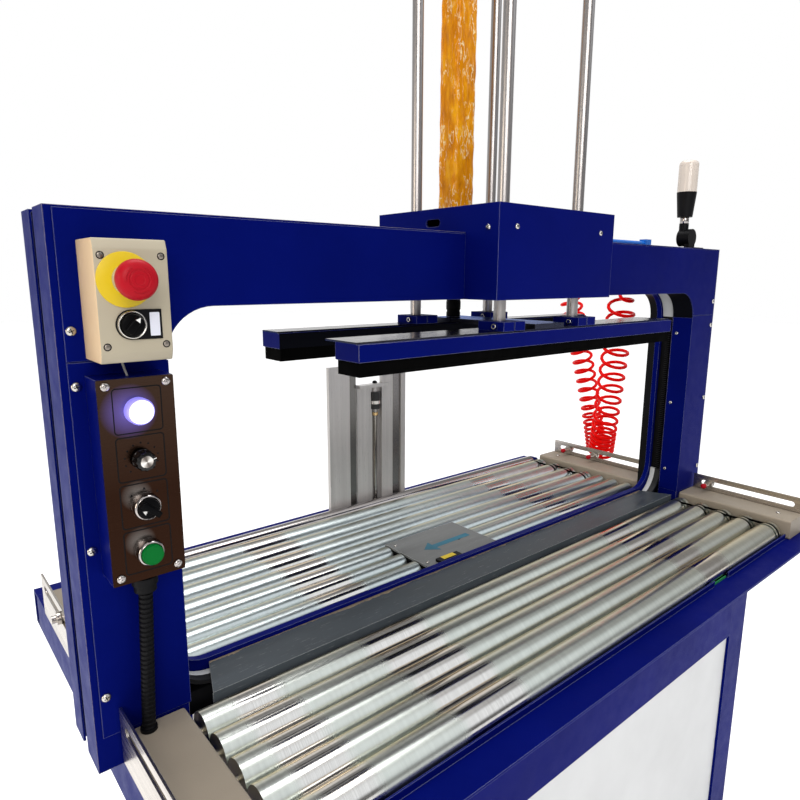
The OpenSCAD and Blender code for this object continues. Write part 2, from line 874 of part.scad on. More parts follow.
module sensor_plates() {
  top = rail_top + sensor_rise;
  low = deck_top + 6;
  spans = [[rail_front_y, rail_front_end], [rail_rear_y, rail_rear_end]];
  color(steel) at_arch() both_sides() for (span = spans)
    slab_x(rail_out, rail_out + sensor_plate_t) difference() {
      translate([span[0], low]) square([span[1] - span[0], top - low]);
      translate([(span[0] + span[1]) / 2, sensor_z]) obround(span[1] - span[0] - 2 * slot_margin, slot_h);
    }
}

module sensor(y) {
  outer = rail_out + sensor_plate_t;
  rod_x(rail_out - 32, outer + slip + nut_t + 7, y, sensor_z, sensor_d);
  rod_x(rail_out - slip - nut_t, rail_out - slip, y, sensor_z, nut_d, $fn = fine);
  rod_x(outer + slip, outer + slip + nut_t, y, sensor_z, nut_d, $fn = fine);
}

module sensor_front_right() {
  color(steel) at_arch() sensor(sensor_front_y);
}

module sensor_rear_right() {
  color(steel) at_arch() for (y = sensor_rear_ys) sensor(y);
}

module sensor_rear_left() {
  color(steel) at_arch() mirror([1, 0, 0]) sensor(sensor_left_y);
}

module front_plate() {
  top = deck_z + 2;
  t = 3;
  front = 9;
  back = ring_y - 1;
  left = [for (lead = left_lead) lead - open_half];
  right = [for (lead = right_lead) open_half - lead];
  foot = 20;
  color(slate) at_arch() {
    translate([0, 0, top - t]) linear_extrude(t)
      polygon([[left[0], front], [right[0], front], [right[1], back], [left[1], back]]);
    box([left[0], front, top - 16], [right[0], front + t, top - t]);
    for (x = [left[1] + 80, -foot / 2, right[1] - 100])
      box([x, shell_back + 4, deck_top + 21], [x + foot, ring_y - 4, top - t]);
  }
}

module centre_plate() {
  top = deck_z + 1;
  color(slate) at_arch() difference() {
    box([plate_left, ring_back + 8, top - 4], [plate_right, plate_rear, top]);
    box([-103, ring_back + 7, top - 5], [-44, 113, top + 1]);
    rod_z(9, 163, top - 5, top + 1, 15);
  }
}

module strap_head() {
  top = deck_z - 3;
  seat = shaft_d + 2 * seat_clear;
  color(dark) at_arch() {
    difference() {
      union() {
        box([head_left, 116, cross_top], [head_right, plate_rear, top]);
        box([-102, ring_back + 3, deck_z - 30], [-45, 117, deck_z - 8]);
        box([-102, ring_back + 3, deck_z - 30], [-45, 112, deck_z + 6]);
      }
      for (i = [0:2]) {
        rod_x(head_left - 1, head_left + 20, short_first + i * short_pitch, short_z, seat);
        rod_x(head_right - 20, head_right + 1, short_first + i * short_pitch, short_z, seat);
      }
      rod_z(9, 163, top - 30, top + 1, 15);
      box([-90, ring_back + 2, deck_z - 1], [-57, 114, deck_z + 2]);
    }
    rod_z(-30, 172, cross_top - 150, cross_top, 90);
  }
}

module drive_motor() {
  x0 = belt_x[0];
  x1 = belt_x[1];
  color(dark) at_arch() {
    for (x = [x0 - 8, x1 + 3]) box([x, belt_front - 8, belt_z - 14], [x + 5, cross_1[0], belt_z + 14]);
    for (y = [belt_front, belt_rear]) {
      rod_x(x0 + 2, x1 - 2, y, belt_z, belt_pulley - 0.4);
      rod_x(x0 - 8, x1 + 8, y, belt_z, 12);
    }
    box([x0 - 50, cross_1[0] - 60, frame_z - 10], [x1 + 30, cross_1[1], frame_z]);
    box([x0 - 30, cross_1[0] - 50, frame_z - 130], [x0 + 60, cross_1[1] - 5, frame_z - 10]);
    rod_x(x0 - 200, x0 - 29, cross_1[0] - 8, frame_z - 72, 110);
  }
}

module drive_belt() {
  r = belt_pulley / 2;
  color(green) at_arch() slab_x(belt_x[0], belt_x[1]) {
    translate([(belt_front + belt_rear) / 2, belt_z]) difference() {
      obround(belt_rear - belt_front + 2 * (r + belt_t), 2 * (r + belt_t));
      obround(belt_rear - belt_front + 2 * r, 2 * r);
    }
    translate([front_edge, deck_top - 15]) square([belt_t, 19]);
  }
}

// Rollers

module roller(x0, x1, y, z, d, cuts) {
  l = x1 - x0;
  r = d / 2;
  bore = shaft_d / 2 + run_clear;
  ri = r - roller_wall;
  rg = r - belt_groove;
  right = len(cuts) > 0 ? belt_cap : cap_t;
  cut = [for (g = cuts, k = [0:3])
    [k == 1 || k == 2 ? rg : r, l - g + (k < 2 ? -groove_w / 2 : groove_w / 2)]];
  translate([x0, y, z]) rotate([0, 90, 0]) rotate_extrude() polygon(concat(
    [[bore, 0], [r, 0]], cut,
    [[r, l], [bore, l], [bore, l - right], [ri, l - right], [ri, cap_t], [bore, cap_t]]));
}

module front_roller(i) {
  color(zinc) at_arch()
    roller(-roller_half, roller_half, front_first - i * front_pitch, roller_z, roller_d, grooves);
}

module rear_roller(i) {
  color(zinc) at_arch()
    roller(-roller_half, roller_half, rear_first + i * rear_pitch, roller_z, roller_d, grooves);
}

module short_rollers(i) {
  y = short_first + i * short_pitch;
  color(zinc) at_arch() {
    roller(-roller_half, head_left - side_gap, y, short_z, short_d, []);
    roller(head_right + side_gap, roller_half, y, short_z, short_d, []);
  }
}

module outfeed_roller() {
  color(zinc) at_arch() roller(-roller_half, roller_half, out_y, out_z, out_d, []);
}

module roller_shafts() {
  end = rail_in + rail_wall - 0.5;
  color(steel) at_arch() {
    for (i = [0:4]) rod_x(-end, end, front_first - i * front_pitch, roller_z, shaft_d);
    for (i = [0:3]) rod_x(-end, end, rear_first + i * rear_pitch, roller_z, shaft_d);
    for (i = [0:2]) {
      rod_x(-end, head_left + 18, short_first + i * short_pitch, short_z, shaft_d);
      rod_x(head_right - 18, end, short_first + i * short_pitch, short_z, shaft_d);
    }
    rod_x(-rail_in - 2, rail_in + 2, out_y, out_z, shaft_d);
  }
}

module round_belt(y, pitch, x) {
  r = roller_d / 2 - belt_groove + slip + belt_d / 2;
  translate([x, y, roller_z]) {
    for (s = [-1, 1]) rod_y(0, 0, pitch, s * r, belt_d, $fn = fine);
    rotate([0, 90, 0]) rotate([0, 0, 180]) rotate_extrude(angle = 180, $fn = fine * 2)
      translate([r, 0]) circle(d = belt_d, $fn = fine);
    translate([0, pitch, 0]) rotate([0, 90, 0]) rotate_extrude(angle = 180, $fn = fine * 2)
      translate([r, 0]) circle(d = belt_d, $fn = fine);
  }
}

module o_belts() {
  color(dark) at_arch() {
    for (i = [0:3])
      round_belt(front_first - (i + 1) * front_pitch, front_pitch, roller_half - grooves[i % 2]);
    for (i = [0:2])
      round_belt(rear_first + i * rear_pitch, rear_pitch, roller_half - grooves[i % 2]);
  }
}

// Hoses

hose_a = [[half_w - 63, 405, beam_z + 23], [half_w + 84, 377, beam_z - 388], [half_w + 101, 372, deck_z - 13]];
hose_b = [[half_w - 115.4, 186, beam_z + 18], [half_w - 39, 253, beam_z - 250], [half_w + 38, 320.6, deck_z - 5]];
drop_a = [0.43, 0.55, 0.75];
drop_b = [0.36, 0.5, 0.7];
hose_stub = [0, 0, 5];
hose_lead = 0.02;

function unit(v) = v / norm(v);

function ease(t) = let (c = min(max(t, 0), 1)) c * c * (3 - 2 * c);

function fall(u, d) = let (q = (u - d[1]) / (d[2] - d[1]))
  u < d[1] ? u
  : u < d[2] ? d[1] + (u - d[1]) * (1 + q * (d[0] - 1) / 2)
  : d[1] + (d[2] - d[1]) * (1 + d[0]) / 2 + d[0] * (u - d[2]);

function along(p, u, d) = let (
    g = hose_lead + (1 - 2 * hose_lead) * fall(u, d) / fall(1, d),
    mid = p[0][2] - p[1][2],
    full = p[0][2] - p[2][2])
  g * full / (mid + sqrt(mid * mid + (full - 2 * mid) * g * full));

function axis_point(p, f) = pow(1 - f, 2) * p[0] + 2 * f * (1 - f) * p[1] + f * f * p[2];

function radial(p, f, a) = let (
    t = unit((1 - f) * (p[1] - p[0]) + f * (p[2] - p[1])),
    e = unit([1, 0, 0] - t * t[0]))
  cos(a) * e + sin(a) * cross(t, e);

function hose_route(p, r, n, d, turn) = concat(
  [for (q = [p[0], p[0] - hose_stub]) [q, radial(p, 0, 0)]],
  [for (i = [0:8 * n]) let (
    k = i / 8,
    f = along(p, k / n, d),
    e = radial(p, f, turn * 360 * k))
    [axis_point(p, f) + r * ease(min(k, n - k) / 1.25) * e, e]],
  [for (q = [p[2] + hose_stub, p[2]]) [q, radial(p, 1, 0)]]);

function hose_rings(route) = [for (i = [0:len(route) - 1]) let (
    t = unit(route[min(i + 1, len(route) - 1)][0] - route[max(i - 1, 0)][0]),
    e = route[i][1],
    n = unit(e - t * (e * t)),
    b = cross(t, n))
  for (k = [0:5]) route[i][0] + tube_d / 2 * (cos(60 * k) * n + sin(60 * k) * b)];

function hose_faces(n) = concat(
  [[for (k = [0:5]) k]],
  [for (i = [0:n - 2], k = [0:5], h = [0:1]) let (
      a = 6 * i + k,
      b = 6 * i + (k + 1) % 6)
    h == 0 ? [a, a + 6, b] : [b, a + 6, b + 6]],
  [[for (k = [5:-1:0]) 6 * (n - 1) + k]]);

module hose(route) {
  color(red) at_arch()
    polyhedron(points = hose_rings(route), faces = hose_faces(len(route)), convexity = 10);
}

module hose_hanger() {
  arm_t = 6;
  arm_z = beam_z + 43;
  arm_x = [half_w - 126, half_w - 52];
  block_z = [deck_top - 30, deck_top - 2];
  fitting = 16;
  color(steel) at_arch() {
    box([arm_x[0] - 24, arch_d, arm_z - 10], [arm_x[1] + 24, arch_d + arm_t, arm_z + 40]);
    box([arm_x[0], arch_d + arm_t - 1, arm_z], [arm_x[1], hose_a[0][1] + 20, arm_z + arm_t]);
    box([rail_out, hose_b[2][1] - 20, block_z[0]], [half_w + hanger_reach, hose_a[2][1] + 23, block_z[1]]);
    for (p = [hose_a, hose_b]) {
      rod_z(p[0][0], p[0][1], p[0][2], arm_z + 1, fitting);
      rod_z(p[2][0], p[2][1], block_z[1] - 1, p[2][2], fitting);
    }
  }
}

// Gate

module gate_posts() {
  left = [-95, -36];
  right = [gate_x + gate_joint / 2 + gate_clear, 139];
  groove = [97, 125];
  recess = [left[1] - 8, -12];
  y = gate_rod_y;
  wall_y = y + gate_joint / 2 + 1.6;
  seat = gate_rod + 2 * run_clear;
  bottom = gate_cyl_top - gate_stroke - 50;
  color(pale) at_arch() {
    for (x = [left, right]) box([x[0], gate_y, frame_z], [x[1], gate_back, deck_top]);
    box([left[0], gate_y, frame_z], [left[1], gate_y + post_t, gate_top]);
    box([recess[0], gate_y + post_t - 2, frame_z], [recess[1], gate_y + post_t + 6, gate_top]);
    box([right[0] - gate_joint, wall_y, frame_z], [right[0] + gate_joint, wall_y + 5, stop_top - 10]);
    difference() {
      box([right[0], gate_y, frame_z], [right[1], gate_y + post_t, gate_top]);
      box([groove[0], gate_y - 1, deck_top], [groove[1], gate_y + 5, gate_top + 1]);
    }
    difference() {
      union() {
        rod_z(gate_x, y, bottom, gate_cyl_top, gate_cyl);
        box([gate_x - 8, y, gate_cyl_top - 40], [gate_x + 8, gate_back, gate_cyl_top - 2]);
      }
      rod_z(gate_x, y, bottom + 10, gate_cyl_top - 10, gate_cyl - 4);
      rod_z(gate_x, y, gate_cyl_top - 11, gate_cyl_top + 1, seat);
      rod_z(gate_x, y, bottom - 1, bottom + 11, 5);
    }
  }
}

module stop_gate() {
  plate = [-9, gate_x - gate_cyl / 2 - gate_clear];
  arm_end = 85;
  low = deck_z - 70;
  arm_z = [stop_top - 4, stop_top + 4];
  y = gate_rod_y;
  nut = gate_joint_z + 18;
  color(steel) at_arch() {
    box([plate[0], gate_y + 7, low], [plate[1], gate_y + 15, stop_top]);
    box([plate[0], gate_y - 4, arm_z[0]], [gate_x + gate_joint / 2, gate_y + 15, arm_z[1]]);
    box([gate_x, gate_y - 4, arm_z[0]], [arm_end, gate_y - 0.5, arm_z[1]]);
    rod_z(gate_x, y, nut, stop_top - 17, gate_joint);
    rod_z(gate_x, y, stop_top - 18, arm_z[0] + 1, 16);
    rod_z(gate_x, y, gate_joint_z, nut + 1, 15);
    rod_z(gate_x, y, gate_cyl_top - 25, gate_joint_z + 1, gate_rod);
    rod_z(gate_x, y, gate_cyl_top - 30, gate_cyl_top - 20, gate_cyl - 4.4);
  }
}

// Base

module base_frame() {
  half = base_w / 2;
  leg_in = half - leg_w;
  low = foot_h + 30;
  wall = 3;
  color(navy) at_arch() {
    for (y = [base_y, base_rear - leg_d]) {
      both_sides() tube_box([leg_in, y, foot_h], [half, y + leg_d, base_top], wall, 2);
      tube_box([weld - leg_in, y, base_top - apron_h], [leg_in - weld, y + leg_d, base_top], wall, 0);
      tube_box([weld - leg_in, y, low], [leg_in - weld, y + leg_d, low + stretcher_h], wall, 0);
    }
    both_sides() for (z = [[base_top - apron_h, base_top], [low, low + stretcher_h]])
      tube_box([leg_in, base_y + leg_d + weld, z[0]], [half, base_rear - leg_d - weld, z[1]], wall, 1);
  }
}

module base_panels() {
  half = base_w / 2;
  leg_in = half - leg_w;
  low = foot_h + 30 + stretcher_h;
  high = base_top - apron_h;
  t = 2;
  color(pale) at_arch() {
    box([-leg_in, base_y + panel_in, low], [leg_in, base_y + panel_in + t, high]);
    box([-leg_in, base_rear - panel_in - t, low], [leg_in, base_rear - panel_in, high]);
    both_sides()
      box([half - panel_in - t, base_y + leg_d, low], [half - panel_in, base_rear - leg_d, high]);
  }
}

module levelling_feet() {
  color(dark) at_arch() both_sides() for (y = [base_y + leg_d / 2, base_rear - leg_d / 2])
    translate([base_w / 2 - leg_w / 2, y, 0]) {
      cylinder(d = 70, h = 8);
      translate([0, 0, 7]) cylinder(d1 = 60, d2 = 24, h = 10);
      cylinder(d = 16, h = foot_h - 3);
      translate([-leg_w / 2, -leg_d / 2, foot_h - 6]) cube([leg_w, leg_d, 6]);
    }
}

base_frame();
base_panels();
levelling_feet();
deck_frame();
side_rails();
sensor_plates();
arch_front_shell();
arch_rear_shell();
strap_track();
column_covers();
strap_guides();
screws();
press_housing();
press_cylinder();
air_tube();
e_stop_box();
control_box();
control_face();
conduit();
beacon_base();
front_plate();
centre_plate();
drive_belt();
drive_motor();
strap_head();
roller_shafts();
o_belts();
hose_hanger();
gate_posts();
hose(hose_route(hose_a, curl_a, curls_a, drop_a, 1));  // red_hose_a
hose(hose_route(hose_b, curl_b, curls_b, drop_b, -1));  // red_hose_b
press_bars();
press_pads();
guide_rods();
rod_clamps();
front_roller(0);  // front_roller_1
front_roller(1);  // front_roller_2
front_roller(2);  // front_roller_3
front_roller(3);  // front_roller_4
front_roller(4);  // front_roller_5
rear_roller(0);  // rear_roller_1
rear_roller(1);  // rear_roller_2
rear_roller(2);  // rear_roller_3
rear_roller(3);  // rear_roller_4
short_rollers(0);  // short_rollers_1
short_rollers(1);  // short_rollers_2
short_rollers(2);  // short_rollers_3
outfeed_roller();
e_stop_button();
upper_selector();
lit_button();
pot_knob();
lower_selector();
green_button();
beacon_pole();
beacon_lens();
sensor_front_right();
sensor_rear_right();
sensor_rear_left();
stop_gate();
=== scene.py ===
"""Looks of the carton strapping machine: materials, small pieces, light and camera round the frame"""

import math

import bmesh
import bpy
from mathutils import Matrix, Vector, noise


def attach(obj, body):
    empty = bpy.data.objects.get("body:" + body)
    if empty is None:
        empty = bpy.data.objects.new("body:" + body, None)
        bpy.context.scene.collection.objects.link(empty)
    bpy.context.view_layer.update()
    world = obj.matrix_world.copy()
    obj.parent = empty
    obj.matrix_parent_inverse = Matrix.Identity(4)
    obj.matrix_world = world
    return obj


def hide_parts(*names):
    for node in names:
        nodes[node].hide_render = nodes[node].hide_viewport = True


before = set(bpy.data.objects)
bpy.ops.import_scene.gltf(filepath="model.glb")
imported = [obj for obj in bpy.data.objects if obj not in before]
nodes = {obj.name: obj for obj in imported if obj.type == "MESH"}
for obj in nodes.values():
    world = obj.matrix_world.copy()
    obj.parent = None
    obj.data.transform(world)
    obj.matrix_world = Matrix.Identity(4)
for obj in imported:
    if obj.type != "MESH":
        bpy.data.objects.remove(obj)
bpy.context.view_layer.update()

# Main places of the machine, in millimetres from the middle of the arch front at floor level

MM = 0.001
ARCH_X = -56.0
ARCH_Y = -130.0
HALF_W = 750.0
OPEN_HALF = 638.0
BEAM_Z = 1312.0
PLATE_TOP = 801.0
RAIL_TOP = 808.0
RAIL_OUT = 720.0
SENSOR_Z = 825.0
HOUSING_TOP = 1458.0
CYLINDER_TOP = 2010.0
FRONT_ROW = -29.0
REAR_ROW = 180.0
REAR_BAR_FRONT = 147.0
BAR_HALF = 410.0
SHEETS = ((-55.9, 16.9), (153.1, 201.9))
SHEET_LOW = 1259.5
SHEET_TOP = 1262.0
PLATE_BACK = 79.0
GUIDE_SHADE_Y = 66.0
GATE_Y = 490.0
GATE_JOINT = Vector((47.5, 500.4, 0.0))
FACE_Y = -43.5
CONTROL_X = -687.0
CONTROL_Z = 1015.0
CONTROL_H = 227.0
BUTTON_Z = 1206.6
PITCH = 53.0
TO_METRES = Matrix.Translation((ARCH_X * MM, ARCH_Y * MM, 0.0)) @ Matrix.Scale(MM, 4)


def place(x, y, z):
    """A point in metres in the frame, from arch millimetres"""
    return TO_METRES @ Vector((x, y, z))


def linked(name, data):
    """An object of the scene with this data"""
    made = bpy.data.objects.new(name, data)
    bpy.context.scene.collection.objects.link(made)
    return made


# Camera at the photograph's viewing angle

CAMERA_AT = place(-891.3, -722.2, 1346.5)
CAMERA_YAW = math.radians(50.13)
CAMERA_PITCH = math.radians(11.07)
CAMERA_ROLL = math.radians(0.23)
CAMERA_LENS = 28.24


def add_camera():
    data = bpy.data.cameras.new("camera")
    data.sensor_width = 36.0
    data.lens = CAMERA_LENS
    data.clip_start = 0.02
    data.clip_end = 100.0
    camera = linked("camera", data)
    ahead = Vector((
        math.cos(CAMERA_YAW) * math.cos(CAMERA_PITCH),
        math.sin(CAMERA_YAW) * math.cos(CAMERA_PITCH),
        -math.sin(CAMERA_PITCH),
    ))
    turn = ahead.to_track_quat("-Z", "Y").to_matrix().to_4x4()
    camera.matrix_world = Matrix.Translation(CAMERA_AT) @ turn @ Matrix.Rotation(CAMERA_ROLL, 4, "Z")
    bpy.context.scene.camera = camera


# Mesh parts, in arch millimetres

SIDES = 48
FINE_SIDES = 24


def outward(bm):
    bmesh.ops.recalc_face_normals(bm, faces=bm.faces[:])
    return bm


def skin(bm, rings):
    """Faces between neighbouring rings of points; a ring of one point is a tip"""
    for lower, upper in zip(rings, rings[1:]):
        count = max(len(lower), len(upper))
        for k in range(count):
            j = (k + 1) % count
            if len(lower) == 1:
                bm.faces.new((lower[0], upper[k], upper[j]))
            elif len(upper) == 1:
                bm.faces.new((lower[k], lower[j], upper[0]))
            else:
                bm.faces.new((lower[k], lower[j], upper[j], upper[k]))


def turns(count):
    return [2 * math.pi * k / count for k in range(count)]


def block(low, high, bevel=0.0, segments=2):
    """A box between two corners, with rounded edges"""
    bm = bmesh.new()
    bmesh.ops.create_cube(bm, size=1.0)
    low = Vector(low)
    high = Vector(high)
    bmesh.ops.scale(bm, vec=high - low, verts=bm.verts)
    bmesh.ops.translate(bm, vec=(low + high) / 2, verts=bm.verts)
    if bevel > 0.0:
        bmesh.ops.bevel(bm, geom=bm.edges[:], offset=bevel, segments=segments, profile=0.5, affect="EDGES")
    return bm


def turned(profile, sides=SIDES, ripple=0.0, lobes=0, bored=False):
    """A turned form about +Z from (radius, height) pairs; ripple flutes it, bored makes it a ring"""
    bm = bmesh.new()
    rings = []
    for radius, height in profile:
        if radius == 0.0:
            rings.append([bm.verts.new((0.0, 0.0, height))])
            continue
        ring = []
        for angle in turns(sides):
            r = radius * (1.0 + ripple * math.cos(lobes * angle))
            ring.append(bm.verts.new((r * math.cos(angle), r * math.sin(angle), height)))
        rings.append(ring)
    skin(bm, rings + rings[:1] if bored else rings)
    for ring in (rings[0], rings[-1]):
        if len(ring) > 1 and not bored:
            bm.faces.new(ring)
    return outward(bm)


def swept(points, radius, sides=12):
    """A round tube along points, with flat ends"""
    bm = bmesh.new()
    points = [Vector(p) for p in points]
    last = len(points) - 1
    side = Vector((0.3, 0.5, 0.8))
    rings = []
    for i, point in enumerate(points):
        along = (points[min(i + 1, last)] - points[max(i - 1, 0)]).normalized()
        side = (side - along * side.dot(along)).normalized()
        other = along.cross(side)
        ring = []
        for angle in turns(sides):
            ring.append(bm.verts.new(point + radius * (math.cos(angle) * side + math.sin(angle) * other)))
        rings.append(ring)
    skin(bm, rings)
    bm.faces.new(rings[0])
    bm.faces.new(rings[-1])
    return outward(bm)


def round_outline(width, height, radius, steps=6):
    """Corner points of a rounded rectangle about the origin"""
    points = []
    for sx, sy, start in ((1, 1, 0), (-1, 1, 90), (-1, -1, 180), (1, -1, 270)):
        for k in range(steps + 1):
            angle = math.radians(start + 90 * k / steps)
            points.append((
                sx * (width / 2 - radius) + radius * math.cos(angle),
                sy * (height / 2 - radius) + radius * math.sin(angle),
            ))
    return points


def prism(outline, depth):
    """A flat outline made solid along +Z"""
    bm = bmesh.new()
    low = [bm.verts.new((x, y, 0.0)) for x, y in outline]
    high = [bm.verts.new((x, y, depth)) for x, y in outline]
    bm.faces.new(low)
    bm.faces.new(high)
    skin(bm, [low, high])
    return outward(bm)


def ring_prism(outer, inner, depth):
    """The strip between two outlines of as many points, made solid along +Z"""
    bm = bmesh.new()
    loops = []
    for outline, z in ((outer, 0.0), (outer, depth), (inner, depth), (inner, 0.0)):
        loops.append([bm.verts.new((x, y, z)) for x, y in outline])
    skin(bm, loops + loops[:1])
    return outward(bm)


def facing_front(x, y, z):
    """Turns a part's +Z to the operator, with its +Y up"""
    return Matrix.Translation((x, y, z)) @ Matrix.Rotation(math.pi / 2, 4, "X")


def facing_side(x, y, z, sign):
    """Turns a part's +Z along +X or -X"""
    return Matrix.Translation((x, y, z)) @ Matrix.Rotation(sign * math.pi / 2, 4, "Y")


class Build:
    """Gathers mesh parts into one piece"""

    def __init__(self):
        self.bm = bmesh.new()

    def add(self, part, slot=0, at=None):
        if at is not None:
            bmesh.ops.transform(part, matrix=at, verts=part.verts)
        found = {}
        for vert in part.verts:
            found[vert] = self.bm.verts.new(vert.co)
        for face in part.faces:
            made = self.bm.faces.new([found[v] for v in face.verts])
            made.material_index = slot
        part.free()
        return self

    def piece(self, name, materials, body="frame", slot=None, sharp=35.0):
        bmesh.ops.transform(self.bm, matrix=TO_METRES, verts=self.bm.verts)
        mesh = bpy.data.meshes.new(name)
        self.bm.to_mesh(mesh)
        self.bm.free()
        for material in materials:
            mesh.materials.append(material)
        mesh.polygons.foreach_set("use_smooth", [True] * len(mesh.polygons))
        mesh.set_sharp_from_angle(angle=math.radians(sharp))
        made = linked(name, mesh)
        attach(made, body)
        return made


def single(name, part, material, body="frame", at=None, slot=None):
    """A piece of one part and one material"""
    return Build().add(part, 0, at).piece(name, [material], body, slot)


# Materials

BEVEL_SAMPLES = 4
BARE_STEEL = (0.45, 0.46, 0.46)
BLACK_COLOR = (0.004, 0.004, 0.005)
CLEAR = (0.0, 0.0, 0.0)
FULL = (1.0, 1.0, 1.0)


def feed(tree, socket, value):
    if isinstance(value, bpy.types.NodeSocket):
        tree.links.new(value, socket)
    else:
        socket.default_value = value


def add_node(tree, kind, settings=None, inputs=None):
    made = tree.nodes.new(kind)
    for key, value in (settings or {}).items():
        setattr(made, key, value)
    for key, value in (inputs or {}).items():
        feed(tree, made.inputs[key], value)
    return made


def rgb(color):
    return (color[0], color[1], color[2], 1.0)


def new_material(name, color, rough, metal=0.0, spec=0.5):
    made = bpy.data.materials.new(name)
    made.use_nodes = True
    tree = made.node_tree
    shader = tree.nodes["Principled BSDF"]
    shader.inputs["Base Color"].default_value = rgb(color)
    shader.inputs["Roughness"].default_value = rough
    shader.inputs["Metallic"].default_value = metal
    shader.inputs["Specular IOR Level"].default_value = spec
    return made, tree, shader


def coords(tree, scale=(1.0, 1.0, 1.0)):
    spot = add_node(tree, "ShaderNodeTexCoord").outputs["Object"]
    return add_node(tree, "ShaderNodeMapping", None, {"Vector": spot, "Scale": scale}).outputs["Vector"]


def noise_out(tree, vector, scale, detail=3.0, rough=0.55):
    settings = {"Vector": vector, "Scale": scale, "Detail": detail, "Roughness": rough}
    return add_node(tree, "ShaderNodeTexNoise", None, settings).outputs["Fac"]


def ramp_out(tree, factor, stops):
    made = add_node(tree, "ShaderNodeValToRGB", None, {"Fac": factor})
    elements = made.color_ramp.elements
    while len(elements) < len(stops):
        elements.new(0.5)
    for element, (at, color) in zip(elements, stops):
        element.position = at
        element.color = rgb(color) if isinstance(color, tuple) else (color, color, color, 1.0)
    return made.outputs["Color"]


def mixed_out(tree, factor, first, second):
    """Two colours mixed, through the Mix node's colour sockets"""
    made = add_node(tree, "ShaderNodeMix", {"data_type": "RGBA"}, {0: factor, 6: first, 7: second})
    return made.outputs[2]


def scaled(color, factor):
    return tuple(min(c * factor, 1.0) for c in color)


def bevel_out(tree, radius):
    made = add_node(tree, "ShaderNodeBevel", {"samples": BEVEL_SAMPLES}, {"Radius": radius})
    return made.outputs["Normal"]


def bumped(tree, shader, height, strength, distance, edge=0.0):
    inputs = {"Height": height, "Strength": strength, "Distance": distance}
    if edge > 0.0:
        inputs["Normal"] = bevel_out(tree, edge)
    made = add_node(tree, "ShaderNodeBump", None, inputs)
    tree.links.new(made.outputs["Normal"], shader.inputs["Normal"])


def wire(tree, shader, tone, sheen=None):
    """Links a colour and a roughness to the shader"""
    tree.links.new(tone, shader.inputs["Base Color"])
    if sheen is not None:
        tree.links.new(sheen, shader.inputs["Roughness"])


def edge_highlight_and_wear(tree, radius):
    """Painted highlight along sharp edges, on the deck plates also bare worn edges: 1 on the edge, 0 on
    flat faces
    """
    flat = add_node(tree, "ShaderNodeNewGeometry").outputs["True Normal"]
    along = add_node(
        tree, "ShaderNodeVectorMath", {"operation": "DOT_PRODUCT"}, {0: bevel_out(tree, radius), 1: flat}
    )
    return ramp_out(tree, along.outputs["Value"], [(0.82, 1.0), (0.95, 0.0)])


def coated(name, color, rough, spec, peel, depth, edge, vary, metal=0.0, tint=None, edge_highlight_color=None):
    """Powder coat, moulded plastic or rubber: fine grain (peel, depth), cloudiness (vary), soft edges and,
    when given, a painted highlight colour along sharp edges
    """
    made, tree, shader = new_material(name, color, rough, metal, spec)
    vector = coords(tree)
    cloud = noise_out(tree, vector, 7.0)
    tone = ramp_out(tree, cloud, [(0.3, scaled(color, 1.0 - vary)), (0.7, scaled(color, 1.0 + vary))])
    # Painted highlight mixed in along sharp edges
    if edge_highlight_color is not None:
        tone = mixed_out(tree, edge_highlight_and_wear(tree, edge), tone, rgb(edge_highlight_color))
    gloss = noise_out(tree, vector, 40.0)
    sheen = ramp_out(tree, gloss, [(0.3, rough * 0.88), (0.7, min(rough * 1.15, 1.0))])
    wire(tree, shader, tone, sheen)
    if tint is not None:
        shader.inputs["Specular Tint"].default_value = rgb(tint)
    bumped(tree, shader, noise_out(tree, vector, peel, 2.0), 0.5, depth, edge)
    return made


def math_out(tree, operation, first, second=0.0, third=0.0):
    made = add_node(tree, "ShaderNodeMath", {"operation": operation}, {0: first, 1: second, 2: third})
    return made.outputs["Value"]


def place_parts(tree):
    spot = add_node(tree, "ShaderNodeTexCoord").outputs["Object"]
    return add_node(tree, "ShaderNodeSeparateXYZ", None, {"Vector": spot}).outputs


def repaint(material, mask, color, rough, metal):
    """Gives part of a coated material another colour, gloss and metal; mask makes a 0 or 1 socket"""
    tree = material.node_tree
    shader = tree.nodes["Principled BSDF"]
    spot = mask(tree)
    for name, value in (("Base Color", color), ("Roughness", (rough,) * 3), ("Metallic", (metal,) * 3)):
        socket = shader.inputs[name]
        if socket.is_linked:
            under = socket.links[0].from_socket
        else:
            under = rgb((socket.default_value,) * 3)
        tree.links.new(mixed_out(tree, spot, under, rgb(value)), socket)
    return material


# Parts of nodes with a finish of their own, and recesses of the gate posts with painted shade: middle and
# half reach in arch millimetres

CORNER_IN = 31.2
CORNER_DOWN = 29.7
CORNER_SPARE = 0.6
LOWER_GUIDES = 0.8 * BEAM_Z
RUB_DEPTH = 24.0
RUB_EDGE = 16.0
CHANNEL = (-24.0, 12.3)
CHANNEL_DEPTH = 7.5
GROOVE = (111.0, 13.9)
GROOVE_DEPTH = (5.0, 1.0)
JOINT_REACH = 14.5
JOINT_SPAN = (1023.8, 1067.2)
ROD_REACH = 8.2
ROD_SPAN = (600.0, 1023.8)
SKIN = 0.05
BAND_WOBBLE = 0.04
POLISHED_ROUGH = 0.13
FROSTED_ROUGH = 0.3


def both(tree, first, second):
    return math_out(tree, "MULTIPLY", first, second)


def near(tree, value, middle, half):
    """1 where a coordinate is within half a reach of its middle, in millimetres of the frame"""
    return math_out(tree, "COMPARE", value, middle * MM, half * MM)


def sheet_mask(tree):
    """The bare sheets on the press bars"""
    return math_out(tree, "GREATER_THAN", place_parts(tree)["Z"], (SHEET_LOW + SKIN) * MM)


def rear_bar_mask(tree):
    """The front face of the rear press bar, which the material colours black"""
    return near(tree, place_parts(tree)["Y"], ARCH_Y + REAR_BAR_FRONT, CORNER_SPARE)


